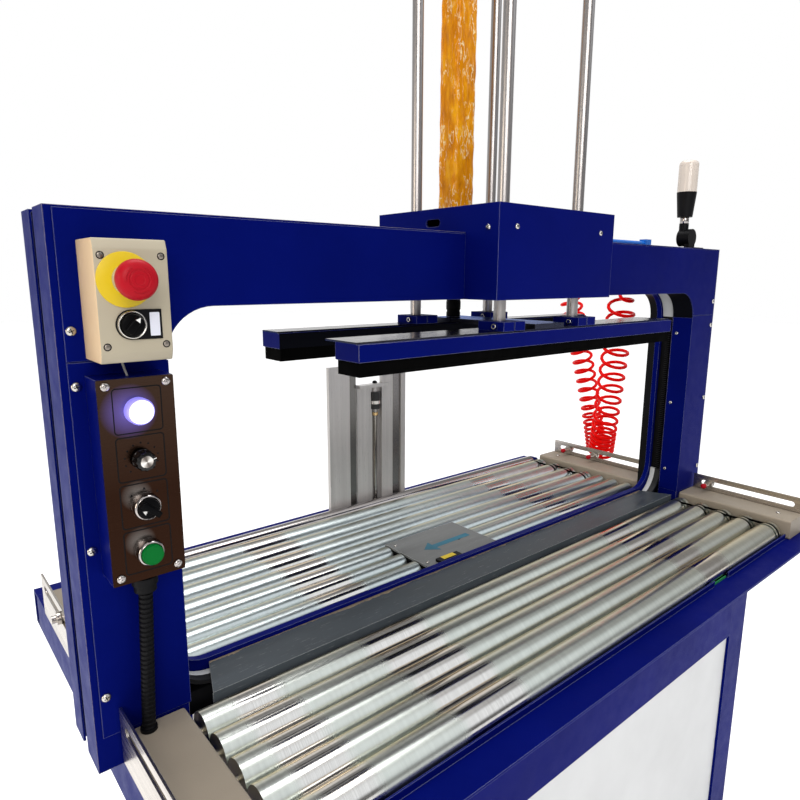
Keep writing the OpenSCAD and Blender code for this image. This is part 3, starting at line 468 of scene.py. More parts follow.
def corner_mask(tree):
    """The black insides of the arch's upper corners"""
    parts = place_parts(tree)
    out = math_out(tree, "ABSOLUTE", math_out(tree, "SUBTRACT", parts["X"], ARCH_X * MM))
    across = near(tree, out, OPEN_HALF - CORNER_IN, CORNER_IN + CORNER_SPARE)
    upward = near(tree, parts["Z"], BEAM_Z - CORNER_DOWN, CORNER_DOWN + CORNER_SPARE)
    return both(tree, across, upward)


def guide_mask(tree):
    """The front part of the lower strap guides, in the shade of the track"""
    parts = place_parts(tree)
    front = math_out(tree, "LESS_THAN", parts["Y"], (ARCH_Y + GUIDE_SHADE_Y) * MM)
    low = math_out(tree, "LESS_THAN", parts["Z"], LOWER_GUIDES * MM)
    return both(tree, front, low)


def rubbed_mask(tree):
    """The rear edge of the front plate, rubbed bare by cartons"""
    chips = noise_out(tree, coords(tree, (0.3, 1.0, 1.0)), 60.0, 4.0, 0.7)
    edge = math_out(tree, "MULTIPLY_ADD", chips, -RUB_DEPTH * MM, place_parts(tree)["Y"])
    return math_out(tree, "GREATER_THAN", edge, (ARCH_Y + PLATE_BACK - RUB_EDGE) * MM)


def channel_shade_mask(tree):
    """Painted shade in the recess between the left gate post and the stop plate"""
    parts = place_parts(tree)
    across = near(tree, parts["X"], ARCH_X + CHANNEL[0], CHANNEL[1])
    behind = math_out(tree, "GREATER_THAN", parts["Y"], (ARCH_Y + GATE_Y + CHANNEL_DEPTH) * MM)
    return both(tree, across, behind)


def near_rod(tree, reach, span):
    """The part of the stop gate round its rod between two heights"""
    parts = place_parts(tree)
    low, high = span
    across = near(tree, parts["X"], ARCH_X + GATE_JOINT.x, reach)
    behind = near(tree, parts["Y"], ARCH_Y + GATE_JOINT.y, reach)
    upward = near(tree, parts["Z"], (low + high) / 2, (high - low) / 2)
    return both(tree, both(tree, across, behind), upward)


def joint_mask(tree):
    """The floating joint between the stop plate and its rod"""
    return near_rod(tree, JOINT_REACH, JOINT_SPAN)


def rod_mask(tree):
    """The chromed rod under the floating joint"""
    return near_rod(tree, ROD_REACH, ROD_SPAN)


def groove_shade_mask(tree):
    """Painted shade in the groove of the right gate post"""
    parts = place_parts(tree)
    across = near(tree, parts["X"], ARCH_X + GROOVE[0], GROOVE[1])
    behind = near(tree, parts["Y"], ARCH_Y + GATE_Y + GROOVE_DEPTH[0], GROOVE_DEPTH[1])
    return both(tree, across, behind)


def brushed(name, color, rough, along, vary=0.25, edge=0.0006, streak=90.0, fine=0.00008, metal=1.0):
    """Bare metal with a grain along one axis"""
    made, tree, shader = new_material(name, color, rough, metal)
    stretch = tuple(0.02 if axis == along else 1.0 for axis in "XYZ")
    vector = coords(tree, stretch)
    grain = noise_out(tree, vector, streak * 12.0, 3.0, 0.7)
    broad = noise_out(tree, vector, streak, 3.0)
    tone = ramp_out(tree, broad, [(0.25, scaled(color, 1.0 - vary)), (0.75, scaled(color, 1.0 + vary))])
    sheen = ramp_out(tree, grain, [(0.25, rough * 0.7), (0.75, min(rough * 1.3, 1.0))])
    wire(tree, shader, tone, sheen)
    bumped(tree, shader, grain, 0.5, fine, edge)
    return made


def roller_zinc(name, bands, dull, warm):
    """Galvanised tube: frosted and polished bands along X, with fine turning marks and a warm far edge"""
    made, tree, shader = new_material(name, dull, FROSTED_ROUGH, 1.0)
    parts = place_parts(tree)
    low = (ARCH_X - OPEN_HALF) * MM
    high = (ARCH_X + OPEN_HALF) * MM
    wobble = noise_out(tree, coords(tree), 9.0)
    shifted = math_out(tree, "MULTIPLY_ADD", wobble, BAND_WOBBLE, parts["X"])
    spot = add_node(
        tree, "ShaderNodeMapRange", None,
        {"Value": shifted, "From Min": low + BAND_WOBBLE / 2, "From Max": high + BAND_WOBBLE / 2},
    )
    frost = ramp_out(tree, spot.outputs["Result"], bands)
    rings = coords(tree, (1.0, 0.01, 0.01))
    turning = noise_out(tree, rings, 900.0, 2.0)
    broad = noise_out(tree, rings, 160.0, 3.0, 0.7)
    polished = ramp_out(tree, turning, [(0.3, (0.54, 0.52, 0.5)), (0.7, (0.66, 0.64, 0.62))])
    frosted = ramp_out(tree, broad, [(0.3, scaled(dull, 0.92)), (0.7, scaled(dull, 1.05))])
    gloss = {"Value": frost, "To Min": POLISHED_ROUGH, "To Max": FROSTED_ROUGH}
    sheen = add_node(tree, "ShaderNodeMapRange", None, gloss).outputs["Result"]
    wire(tree, shader, mixed_out(tree, frost, polished, frosted), sheen)
    shader.inputs["Specular Tint"].default_value = rgb(warm)
    bumped(tree, shader, turning, 0.4, 0.00005)
    return made


def offsets(tree, x, z):
    """How far right of and above a place on the operator's side, given in arch millimetres"""
    parts = place_parts(tree)
    right = math_out(tree, "SUBTRACT", parts["X"], (ARCH_X + x) * MM)
    return right, math_out(tree, "SUBTRACT", parts["Z"], z * MM)


def soft_spot(tree, x, z, reach):
    """1 at a place on the operator's side, fading to 0 at a distance"""
    right, up = offsets(tree, x, z)
    square = math_out(tree, "MULTIPLY_ADD", right, right, both(tree, up, up))
    away = math_out(tree, "DIVIDE", math_out(tree, "SQRT", square), reach * MM)
    return ramp_out(tree, away, [(0.0, 1.0), (0.35, 0.5), (1.0, 0.0)])


# Painted reflection of the control face: paler at the top, darker towards the bottom; then painted glints
# and the lit button's painted glow
FACE_LIT_TOP = (0.05, 0.029, 0.02)
FACE_SHADED_LOW = (0.023, 0.01, 0.006)
GLINT = (0.4, 0.38, 0.36)
GLINT_REACH = 17.0
GLINT_SHARE = 0.45
GLOW = (0.16, 0.13, 0.6)
GLOW_REACH = 30.0


def face_steel(name, light, glints):
    """Dark brushed face plate with painted light: a painted reflection paler at the top, the lit button's
    painted glow and painted glints beside bezels
    """
    made = brushed(name, FACE_LIT_TOP, 0.24, "X", 0.05)
    tree = made.node_tree
    shader = tree.nodes["Principled BSDF"]
    foot = CONTROL_Z * MM
    head = (CONTROL_Z + CONTROL_H) * MM
    span = {"Value": place_parts(tree)["Z"], "From Min": foot, "From Max": head}
    rise = add_node(tree, "ShaderNodeMapRange", None, span).outputs["Result"]
    tone = ramp_out(tree, rise, [(0.0, FACE_SHADED_LOW), (0.45, FACE_SHADED_LOW), (1.0, FACE_LIT_TOP)])
    for x, z in glints:
        spot = both(tree, soft_spot(tree, x, z, GLINT_REACH), GLINT_SHARE)
        tone = mixed_out(tree, spot, tone, rgb(GLINT))
    wire(tree, shader, tone)
    glow = mixed_out(tree, soft_spot(tree, *light, GLOW_REACH), rgb(CLEAR), rgb(GLOW))
    tree.links.new(glow, shader.inputs["Emission Color"])
    shader.inputs["Emission Strength"].default_value = 1.0
    return made


def spun_cap_painted_reflection(name, middle):
    """Turned metal cap with a painted reflection, bright and dark by turns round its middle"""
    made, tree, shader = new_material(name, BARE_STEEL, 0.25, 0.9)
    right, up = offsets(tree, *middle)
    around = math_out(tree, "MULTIPLY_ADD", math_out(tree, "ARCTAN2", up, right), 2.0, 0.8)
    wave = math_out(tree, "MULTIPLY_ADD", math_out(tree, "SINE", around), 0.5, 0.5)
    tone = ramp_out(
        tree, wave, [(0.0, (0.12, 0.1, 0.09)), (0.5, (0.4, 0.37, 0.34)), (1.0, (0.85, 0.82, 0.78))]
    )
    wire(tree, shader, tone)
    bumped(tree, shader, noise_out(tree, coords(tree), 2500.0), 0.3, 0.00003)
    return made


def worn_plate(name, color, rough, wear, spec=0.5):
    """Painted deck plate with rubbed patches along Y, and bright edges that are partly bare worn steel and
    partly painted highlight
    """
    made, tree, shader = new_material(name, color, rough, 0.0, spec)
    vector = coords(tree, (0.15, 1.0, 1.0))
    smear = noise_out(tree, vector, 24.0, 5.0, 0.6)
    tone = ramp_out(tree, smear, [(0.3, scaled(color, 0.75)), (0.75, scaled(color, 1.5))])
    scratch = noise_out(tree, coords(tree, (0.05, 1.0, 1.0)), 700.0, 2.0, 0.7)
    bare = ramp_out(tree, scratch, [(0.66, 0.0), (0.74, wear)])
    rubbed = mixed_out(tree, bare, tone, rgb(BARE_STEEL))
    edged = mixed_out(tree, edge_highlight_and_wear(tree, 0.0012), rubbed, rgb(BARE_STEEL))
    sheen = ramp_out(tree, smear, [(0.3, rough * 0.75), (0.75, min(rough * 1.4, 1.0))])
    wire(tree, shader, edged, sheen)
    bumped(tree, shader, scratch, 0.3, 0.00008, 0.0008)
    return made


AMBER = (0.66, 0.25, 0.01)
CRINKLE_HIGHLIGHT = (1.0, 0.86, 0.5)


def amber_film(name):
    """Thin glossy wrapping film over a pale body, with painted highlights along its crinkles"""
    made, tree, shader = new_material(name, AMBER, 0.25, 0.0, 0.12)
    vector = coords(tree, (1.0, 1.0, 0.35))
    fold = noise_out(tree, vector, 60.0, 5.0, 0.65)
    ridge = ramp_out(tree, noise_out(tree, vector, 75.0, 3.0, 0.6), [(0.47, 0.0), (0.5, 1.0), (0.53, 0.0)])
    sparse = ramp_out(tree, noise_out(tree, vector, 38.0, 2.0, 0.5), [(0.44, 0.0), (0.56, 0.9)])
    tone = ramp_out(
        tree, fold, [(0.28, (0.5, 0.15, 0.0)), (0.48, (0.72, 0.25, 0.0)), (0.7, (0.92, 0.42, 0.004))]
    )
    # Painted highlights along sparse ridges of the crinkles
    tone = mixed_out(tree, both(tree, ridge, sparse), tone, rgb(CRINKLE_HIGHLIGHT))
    wire(tree, shader, tone)
    shader.inputs["Coat Weight"].default_value = 0.08
    shader.inputs["Coat Roughness"].default_value = 0.08
    bumped(tree, shader, fold, 0.6, 0.002)
    return made


def glowing(name, color, strength, tint):
    """Lit plastic, slightly uneven between two colours; also the painted glow of the lit button on its
    bezel and bezel lip
    """
    made, tree, shader = new_material(name, color, 0.3)
    tone = ramp_out(tree, noise_out(tree, coords(tree), 300.0), [(0.3, tint), (0.7, color)])
    tree.links.new(tone, shader.inputs["Emission Color"])
    shader.inputs["Emission Strength"].default_value = strength
    return made


# Finishes of coats: colour, roughness, gloss, grain scale, grain depth, edge radius, cloudiness

LABEL_GRAIN = (0.5, 0.4, 900.0, 0.00003, 0.0003, 0.03)
CASE_GRAIN = (0.4, 0.35, 1400.0, 0.0001, 0.0012, 0.05)
FASTENER_GRAIN = ("X", 0.1, 0.0004, 60.0, 0.00002)
ANODISED = (0.56, 0.54, 0.53)
NAVY_COLOR = (0.0013, 0.0045, 0.12)
NAVY_TINT = (0.2, 0.35, 1.0)
# Colours of the painted highlights along the edges of the navy coat, the arch front and the press bars
NAVY_EDGE_HIGHLIGHT = (0.18, 0.2, 0.34)
ARCH_EDGE_HIGHLIGHT = (0.42, 0.39, 0.4)
BAR_EDGE_HIGHLIGHT = (0.34, 0.35, 0.42)


def navy(name, edge_highlight_color=NAVY_EDGE_HIGHLIGHT):
    # Navy coat with a painted highlight along its edges
    return coated(name, NAVY_COLOR, 0.4, 0.04, 800.0, 0.0003, 0.0014, 0.1, 0.2, NAVY_TINT, edge_highlight_color)


def anodised(name):
    return brushed(name, ANODISED, 0.34, "Z", 0.12, metal=0.45)


NAVY = navy("navy_coat")
NAVY_BARS = repaint(
    repaint(navy("navy_bars", BAR_EDGE_HIGHLIGHT), sheet_mask, (0.05, 0.05, 0.06), 0.25, 0.9),
    rear_bar_mask, BLACK_COLOR, 0.5, 0.0,
)
NAVY_ARCH = repaint(navy("navy_arch", ARCH_EDGE_HIGHLIGHT), corner_mask, BLACK_COLOR, 0.5, 0.0)
PALE = coated("pale_coat", (0.3, 0.255, 0.2), 0.45, 0.2, 700.0, 0.0002, 0.0014, 0.08)
PANEL = coated("panel_coat", (0.72, 0.73, 0.74), 0.5, 0.4, 700.0, 0.0002, 0.0012, 0.04)
GUIDE = repaint(
    coated("guide_plastic", (0.52, 0.53, 0.54), 0.4, 0.4, 900.0, 0.0001, 0.0008, 0.06),
    guide_mask, BLACK_COLOR, 0.5, 0.0,
)
BLACK = coated("black_plastic", BLACK_COLOR, 0.42, 0.1, 1200.0, 0.00015, 0.0006, 0.25)
GLOSS_BLACK = coated("gloss_black", (0.003, 0.003, 0.0035), 0.18, 0.3, 1500.0, 0.00003, 0.0005, 0.2)
DEEP_BLACK = coated("deep_black", (0.002, 0.002, 0.0025), 0.35, 0.05, 1500.0, 0.00003, 0.0005, 0.2)
RUBBER = coated("black_rubber", (0.0015, 0.0015, 0.0015), 0.8, 0.02, 900.0, 0.0003, 0.001, 0.3)
BEIGE = coated("beige_plastic", (0.45, 0.4, 0.3), *CASE_GRAIN)
# Lighter, warmer copy of the beige for faces turned left: painted light falling from the left
BEIGE_LIT_SIDE = coated("beige_painted_lit_side", (0.68, 0.5, 0.31), *CASE_GRAIN)
YELLOW = coated("yellow_plate", (0.7, 0.5, 0.004), 0.4, 0.4, 1200.0, 0.00005, 0.0004, 0.05)
RED = coated("red_plastic", (0.4, 0.003, 0.012), 0.4, 0.15, 1300.0, 0.0001, 0.0012, 0.08)
GREEN = coated("green_plastic", (0.0005, 0.14, 0.022), 0.4, 0.08, 1300.0, 0.0001, 0.0006, 0.08)
GREEN_BELT = coated("green_belt", (0.01, 0.2, 0.06), 0.6, 0.3, 500.0, 0.0003, 0.0006, 0.15)
HOSE_RED = coated("hose_red", (0.95, 0.002, 0.001), 0.25, 0.06, 400.0, 0.00004, 0.0, 0.03)
TUBE_BLUE = coated("tube_blue", (0.01, 0.16, 0.62), 0.25, 0.5, 400.0, 0.00004, 0.0, 0.08)
WHITE = coated("blank_label", (0.74, 0.76, 0.86), *LABEL_GRAIN)
MARK = coated("mark_white", (0.88, 0.88, 0.86), *LABEL_GRAIN)
TEAL = coated("arrow_teal", (0.01, 0.13, 0.2), 0.5, 0.4, 500.0, 0.00005, 0.0, 0.25)
CABLE = coated("cable_grey", (0.3, 0.3, 0.29), 0.5, 0.4, 900.0, 0.00005, 0.0, 0.06)
STAINLESS = brushed("stainless", (0.5, 0.46, 0.42), 0.28, "Y")
# Places of the painted glow and the painted glints on the control face
GLOW_LEFT = 9.0
GLINT_LEFT = 8.0
GLINT_UP = 13.0
FACE = face_steel(
    "control_face_steel", (CONTROL_X - GLOW_LEFT, BUTTON_Z),
    [(CONTROL_X - GLINT_LEFT, BUTTON_Z - row * PITCH + GLINT_UP) for row in (2, 3)],
)
CHROME = brushed("chrome", (0.42, 0.39, 0.38), 0.1, "Z", 0.04, 0.0006, 30.0, 0.00001)
RODS = brushed("rod_chrome", (0.38, 0.36, 0.355), 0.3, "Z", 0.05, 0.0006, 30.0, 0.00001)
BRIGHT = brushed("bright_zinc", (0.52, 0.5, 0.47), 0.2, *FASTENER_GRAIN)
MUTED = brushed("muted_zinc", (0.25, 0.22, 0.19), 0.35, *FASTENER_GRAIN)
BRASS = brushed("brass_screw", (0.6, 0.42, 0.2), 0.25, *FASTENER_GRAIN)
ALUMINIUM = anodised("aluminium")
# Gate posts with painted shade in the channel and in the groove
POSTS = repaint(
    repaint(anodised("gate_post"), channel_shade_mask, (0.16, 0.155, 0.15), 0.25, 0.9),
    groove_shade_mask, (0.2, 0.19, 0.19), 0.25, 0.9,
)
STOP = repaint(
    repaint(anodised("stop_plate"), joint_mask, BLACK_COLOR, 0.4, 0.0),
    rod_mask, (0.22, 0.21, 0.2), 0.15, 1.0,
)
SHAFT = brushed("shaft_steel", (0.5, 0.5, 0.5), 0.3, "X")
SLATE = repaint(
    worn_plate("slate_plate", (0.05, 0.06, 0.07), 0.45, 0.4, 0.3), rubbed_mask, (0.6, 0.46, 0.28), 0.3, 0.7
)
CENTRE = worn_plate("centre_plate", (0.12, 0.125, 0.125), 0.38, 0.35)
FILM = amber_film("amber_film")
LIT = glowing("lit_lens", (0.95, 0.95, 1.0), 2.2, (0.8, 0.78, 1.0))
# Painted glow of the lit button's light on the bezel lip (RIM) and on the bezel (HALO)
RIM = glowing("lit_rim", (0.72, 0.7, 1.0), 0.9, (0.6, 0.56, 1.0))
HALO = glowing("lit_bezel", (0.3, 0.27, 0.95), 0.55, (0.2, 0.17, 0.8))
# Painted reflection on the pot knob's spun cap
CAP = spun_cap_painted_reflection("spun_cap_painted_reflection", (CONTROL_X, BUTTON_Z - PITCH))
SHEET = brushed("bar_sheet", (0.07, 0.062, 0.055), 0.2, "X", 0.2)
LENS = coated("lamp_lens", (0.72, 0.64, 0.57), 0.16, 0.6, 120.0, 0.0006, 0.001, 0.06)
# Polished and frosted bands of the rollers, from left to right

FRONT_BANDS = [
    (0.0, 0.9), (0.035, 0.9), (0.045, 0.1), (0.085, 0.1), (0.1, 0.95), (0.195, 0.9), (0.21, 0.05),
    (0.285, 0.1), (0.3, 1.0), (0.7, 1.0), (0.715, 0.05), (0.775, 0.1), (0.795, 0.95), (1.0, 0.9),
]
REAR_BANDS = [
    (0.0, 0.95), (0.21, 0.95), (0.225, 0.05), (0.285, 0.1), (0.3, 1.0), (0.74, 1.0), (0.755, 0.05),
    (0.8, 0.1), (0.82, 0.9), (1.0, 0.95),
]
WARM_EDGE = (0.95, 0.76, 0.5)
ROLLER_FRONT = roller_zinc("roller_front_zinc", FRONT_BANDS, (0.56, 0.59, 0.55), WARM_EDGE)
ROLLER_REAR = roller_zinc("roller_rear_zinc", REAR_BANDS, (0.54, 0.6, 0.6), WARM_EDGE)


def numbered(name, count):
    return [f"{name}_{i}" for i in range(1, count + 1)]


NODE_MATERIALS = {
    NAVY: ["base_frame", "deck_frame", "arch_rear_shell", "column_covers", "press_housing", "control_box",
           "rod_clamps"],
    NAVY_BARS: ["press_bars"],
    NAVY_ARCH: ["arch_front_shell"],
    PALE: ["side_rails"],
    PANEL: ["base_panels"],
    GUIDE: ["strap_guides"],
    BLACK: ["levelling_feet", "strap_track", "conduit", "beacon_base", "drive_motor", "strap_head",
            "beacon_pole", "upper_selector", "lower_selector", "pot_knob"],
    RUBBER: ["press_pads", "o_belts"],
    SLATE: ["front_plate"],
    CENTRE: ["centre_plate"],
    STAINLESS: ["sensor_plates", "hose_hanger", "sensor_front_right", "sensor_rear_right",
                "sensor_rear_left"],
    FACE: ["control_face"],
    CHROME: ["outfeed_roller"],
    RODS: ["guide_rods"],
    BRIGHT: ["screws"],
    ALUMINIUM: ["press_cylinder"],
    POSTS: ["gate_posts"],
    STOP: ["stop_gate"],
    SHAFT: ["roller_shafts"],
    ROLLER_FRONT: numbered("front_roller", 5),
    ROLLER_REAR: numbered("rear_roller", 4) + numbered("short_rollers", 3),
    GREEN_BELT: ["drive_belt"],
    TUBE_BLUE: ["air_tube"],
    HOSE_RED: ["red_hose_a", "red_hose_b"],
    BEIGE: ["e_stop_box"],
    RED: ["e_stop_button"],
    GREEN: ["green_button"],
    LIT: ["lit_button"],
    LENS: ["beacon_lens"],
}


def dress_nodes():
    for material, names in NODE_MATERIALS.items():
        for name in names:
            shown = nodes[name]
            if not shown.material_slots:
                shown.data.materials.append(material)
            for slot in shown.material_slots:
                slot.material = material


# Curly hoses on the same route as their solids

HOSE_D = 9.0
HOSE_STEPS = 16
HOSE_LEAD = 0.02
HOSE_STUB = Vector((0.0, 0.0, 5.0))
HOSE_A = (Vector((687.0, 405.0, 1335.0)), Vector((834.0, 377.0, 924.0)), Vector((851.0, 372.0, 787.0)))
HOSE_B = (Vector((634.6, 186.0, 1330.0)), Vector((711.0, 253.0, 1062.0)), Vector((788.0, 320.6, 795.0)))
HOSE_EASE = 1.25
MANIFOLD_TOP = 763.0
COLLAR_UP = 3.0
COLLAR_GAP = 0.5


def ease(value):
    value = min(max(value, 0.0), 1.0)
    return value * value * (3.0 - 2.0 * value)


def fallen(along, drop):
    """How far the curls have come down: their pitch goes over to another ratio between two places"""
    ratio, first, last = drop
    if along < first:
        return along
    if along < last:
        part = (along - first) / (last - first)
        return first + (along - first) * (1.0 + part * (ratio - 1.0) / 2.0)
    return first + (last - first) * (1.0 + ratio) / 2.0 + ratio * (along - last)


def hose_route(axis, radius, curls, drop, turn):
    """Curls round a bowed axis from the hanger to the manifold, in metres"""
    start, bow, end = axis
    upper = start.z - bow.z
    full = start.z - end.z
    points = [start, start - HOSE_STUB]
    for i in range(HOSE_STEPS * curls + 1):
        curl = i / HOSE_STEPS
        down = HOSE_LEAD + (1.0 - 2.0 * HOSE_LEAD) * fallen(curl / curls, drop) / fallen(1.0, drop)
        f = down * full / (upper + math.sqrt(upper * upper + (full - 2.0 * upper) * down * full))
        middle = (1.0 - f) ** 2 * start + 2.0 * f * (1.0 - f) * bow + f * f * end
        along = ((1.0 - f) * (bow - start) + f * (end - bow)).normalized()
        side = (Vector((1.0, 0.0, 0.0)) - along * along.x).normalized()
        angle = turn * 2 * math.pi * curl
        r = radius * ease(min(curl, curls - curl) / HOSE_EASE)
        points.append(middle + r * (math.cos(angle) * side + math.sin(angle) * along.cross(side)))
    points += [end + HOSE_STUB, end]
    return [TO_METRES @ p for p in points]


def add_hose(name, node, points):
    data = bpy.data.curves.new(name, "CURVE")
    data.dimensions = "3D"
    data.bevel_depth = HOSE_D * MM / 2
    data.bevel_resolution = 5
    data.use_fill_caps = True
    spline = data.splines.new("POLY")
    spline.points.add(len(points) - 1)
    for point, at in zip(spline.points, points):
        point.co = (at.x, at.y, at.z, 1.0)
    data.materials.append(HOSE_RED)
    hose = linked(name, data)
    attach(hose, "frame")
    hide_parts(node)


def add_hoses():
    add_hose("hose_a", "red_hose_a", hose_route(HOSE_A, 28.0, 22, (0.43, 0.55, 0.75), 1))
    add_hose("hose_b", "red_hose_b", hose_route(HOSE_B, 34.0, 19, (0.36, 0.5, 0.7), -1))
    collar = [
        (8.2, 0.0), (9.2, 1.0), (9.2, 7.0), (8.4, 8.0), (8.2, 8.0), (8.2, 9.0), (8.8, 10.0),
        (8.8, 13.0), (8.1, 13.6),
    ]
    nuts = Build()
    for start, _, end in (HOSE_A, HOSE_B):
        for at in ((start.x, start.y, start.z + COLLAR_UP), (end.x, end.y, MANIFOLD_TOP + COLLAR_GAP)):
            nuts.add(turned(collar, FINE_SIDES), 0, Matrix.Translation(at))
    nuts.piece("hose_collars", [BRASS], slot="stainless")


# Screws with driven heads

PAN = [
    (0.0, 0.0), (0.98, 0.0), (1.0, 0.06), (0.97, 0.26), (0.84, 0.46), (0.62, 0.58), (0.5, 0.61),
    (0.0, 0.63),
]
PAN_SIDES = 28
CROSS = Vector((0.52, 0.09, 0.66))
CROSS_LOW = 0.5
CROSS_TURNS = (20, 110)
COLUMN_SCREWS = (22, 81, 267, 450)
COLUMN_EDGE = 15
INNER_SCREWS = (99, 274, 448)
INNER_SKIN = 2
INNER_Y = 36.0
HOUSING_FRONT = (113, -70.0, BEAM_Z + 112)
HOUSING_SIDE = (154.5, BEAM_Z + 110)
HOUSING_SCREWS = (-49.0, 160.0)
FACE_SCREWS = (8, 220)
FACE_SCREW_X = 31
RAIL_SCREWS = (-222.0, 400.0)
RAIL_X = 682.5
PLATE_SCREWS = (118.0, 216.0)
PLATE_SCREW_X = -118.0


def pan_screw(build, size, at, slot=0, mark=1):
    """Pan head with a raised cross that stands for the drive recess, black where it is painted shade of the
    recess; size is its diameter
    """
    radius = size / 2
    build.add(turned([(r * radius, h * radius) for r, h in PAN], PAN_SIDES), slot, at.copy())
    for turn in CROSS_TURNS:
        arm = block((-CROSS.x * radius, -CROSS.y * radius, CROSS_LOW * radius), CROSS * radius)
        build.add(arm, mark, at @ Matrix.Rotation(math.radians(turn), 4, "Z"))


def add_screws():
    build = Build()
    for s in (-1, 1):
        for drop in COLUMN_SCREWS:
            pan_screw(build, 11.0, facing_front(s * (HALF_W - COLUMN_EDGE), 0.0, BEAM_Z - drop))
        for drop in INNER_SCREWS:
            at = facing_side(s * (OPEN_HALF - INNER_SKIN), INNER_Y, BEAM_Z - drop, -s)
            pan_screw(build, 8.0, at)
        x, y, z = HOUSING_FRONT
        pan_screw(build, 9.0, facing_front(s * x, y, z))
        x, z = HOUSING_SIDE
        for y in HOUSING_SCREWS:
            pan_screw(build, 9.0, facing_side(s * x, y, z, s))
        for up in FACE_SCREWS:
            pan_screw(build, 10.0, facing_front(CONTROL_X + s * FACE_SCREW_X, FACE_Y, CONTROL_Z + up), 2, 2)
        for y in RAIL_SCREWS:
            pan_screw(build, 10.0, Matrix.Translation((s * RAIL_X, y, RAIL_TOP)))
    for y in PLATE_SCREWS:
        pan_screw(build, 7.0, Matrix.Translation((PLATE_SCREW_X, y, PLATE_TOP)))
    # Slot 1 is black: painted shade of the screws' drive recesses
    piece = build.piece("screw_heads", [BRIGHT, BLACK, CHROME], slot="zinc_screws")
    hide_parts("screws")


# Film round the press cylinder

FILM_AROUND = 96
FILM_UP = 150
FILM_HALF = 24.2
FILM_CORNER = 6
FILM_SLACK = 1.2
FILM_END = 1.0
FILM_TWIST = 0.006
CREASE_SCALE = Vector((1.4, 1.4, 0.011)) * 1.6
CREASE_DEPTH = 2.6
CRUMPLE_SCALE = Vector((3.0, 3.0, 0.05))
CRUMPLE_DEPTH = 0.9


def film_radius(angle, z):
    """A rounded square with long spiral creases and small crumples"""
    round_at = Vector((math.cos(angle), math.sin(angle), z))
    corner = abs(round_at.x) ** FILM_CORNER + abs(round_at.y) ** FILM_CORNER
    twist = angle + z * FILM_TWIST
    spiral = Vector((math.cos(twist), math.sin(twist), z)) * CREASE_SCALE
    crease = abs(noise.noise(spiral)) * CREASE_DEPTH
    crumple = noise.noise(round_at * CRUMPLE_SCALE) * CRUMPLE_DEPTH
    return FILM_HALF / corner ** (1 / FILM_CORNER) + FILM_SLACK + crease + crumple


def add_film():
    bm = bmesh.new()
    rings = []
    low = HOUSING_TOP + FILM_END
    high = CYLINDER_TOP - FILM_END
    for i in range(FILM_UP + 1):
        z = low + (high - low) * i / FILM_UP
        ring = []
        for angle in turns(FILM_AROUND):
            r = film_radius(angle, z)
            ring.append(bm.verts.new((r * math.cos(angle), REAR_ROW + r * math.sin(angle), z)))
        rings.append(ring)
    skin(bm, rings)
    bm.faces.new(rings[-1])
    bm.faces.new(rings[0])
    Build().add(outward(bm)).piece("cylinder_film", [FILM], sharp=50.0)


# Emergency stop box

STOP_X = -692.0
STOP_Z = 1343.0
SELECT_Z = 1298.4
BOX_X = -687.0
BOX_Z = 1321.5
BOX_FRONT = -60.0
BOX_W = 72.0
BOX_HIGH = 61.5
SLOPE_Y = -56.0
SLOPE_Z = 51.5
BOX_EDGE = 1.3
LEFTWARD = -0.7
LIT_SIDE_SLOT = 3
BOX_SCREW_X = 29.2
BOX_SCREW_Z = (45.0, -44.5)
DISC_LEFT = 2.7
DISC_T = 1.6
TAB_T = 1.4
LABEL_X = 23.2
MUSHROOM_BACK = -83.0
ARCS = 3
ARC_R = 12.6
ARC_Z = 14.55


def tab_outline(radius, reach):
    """A round end on the left that runs on as a tab to the right"""
    points = [(reach, -radius), (reach, radius)]
    steps = 24
    for k in range(steps + 1):
        angle = math.pi / 2 + math.pi * k / steps
        points.append((radius * math.cos(angle), radius * math.sin(angle)))
    return points


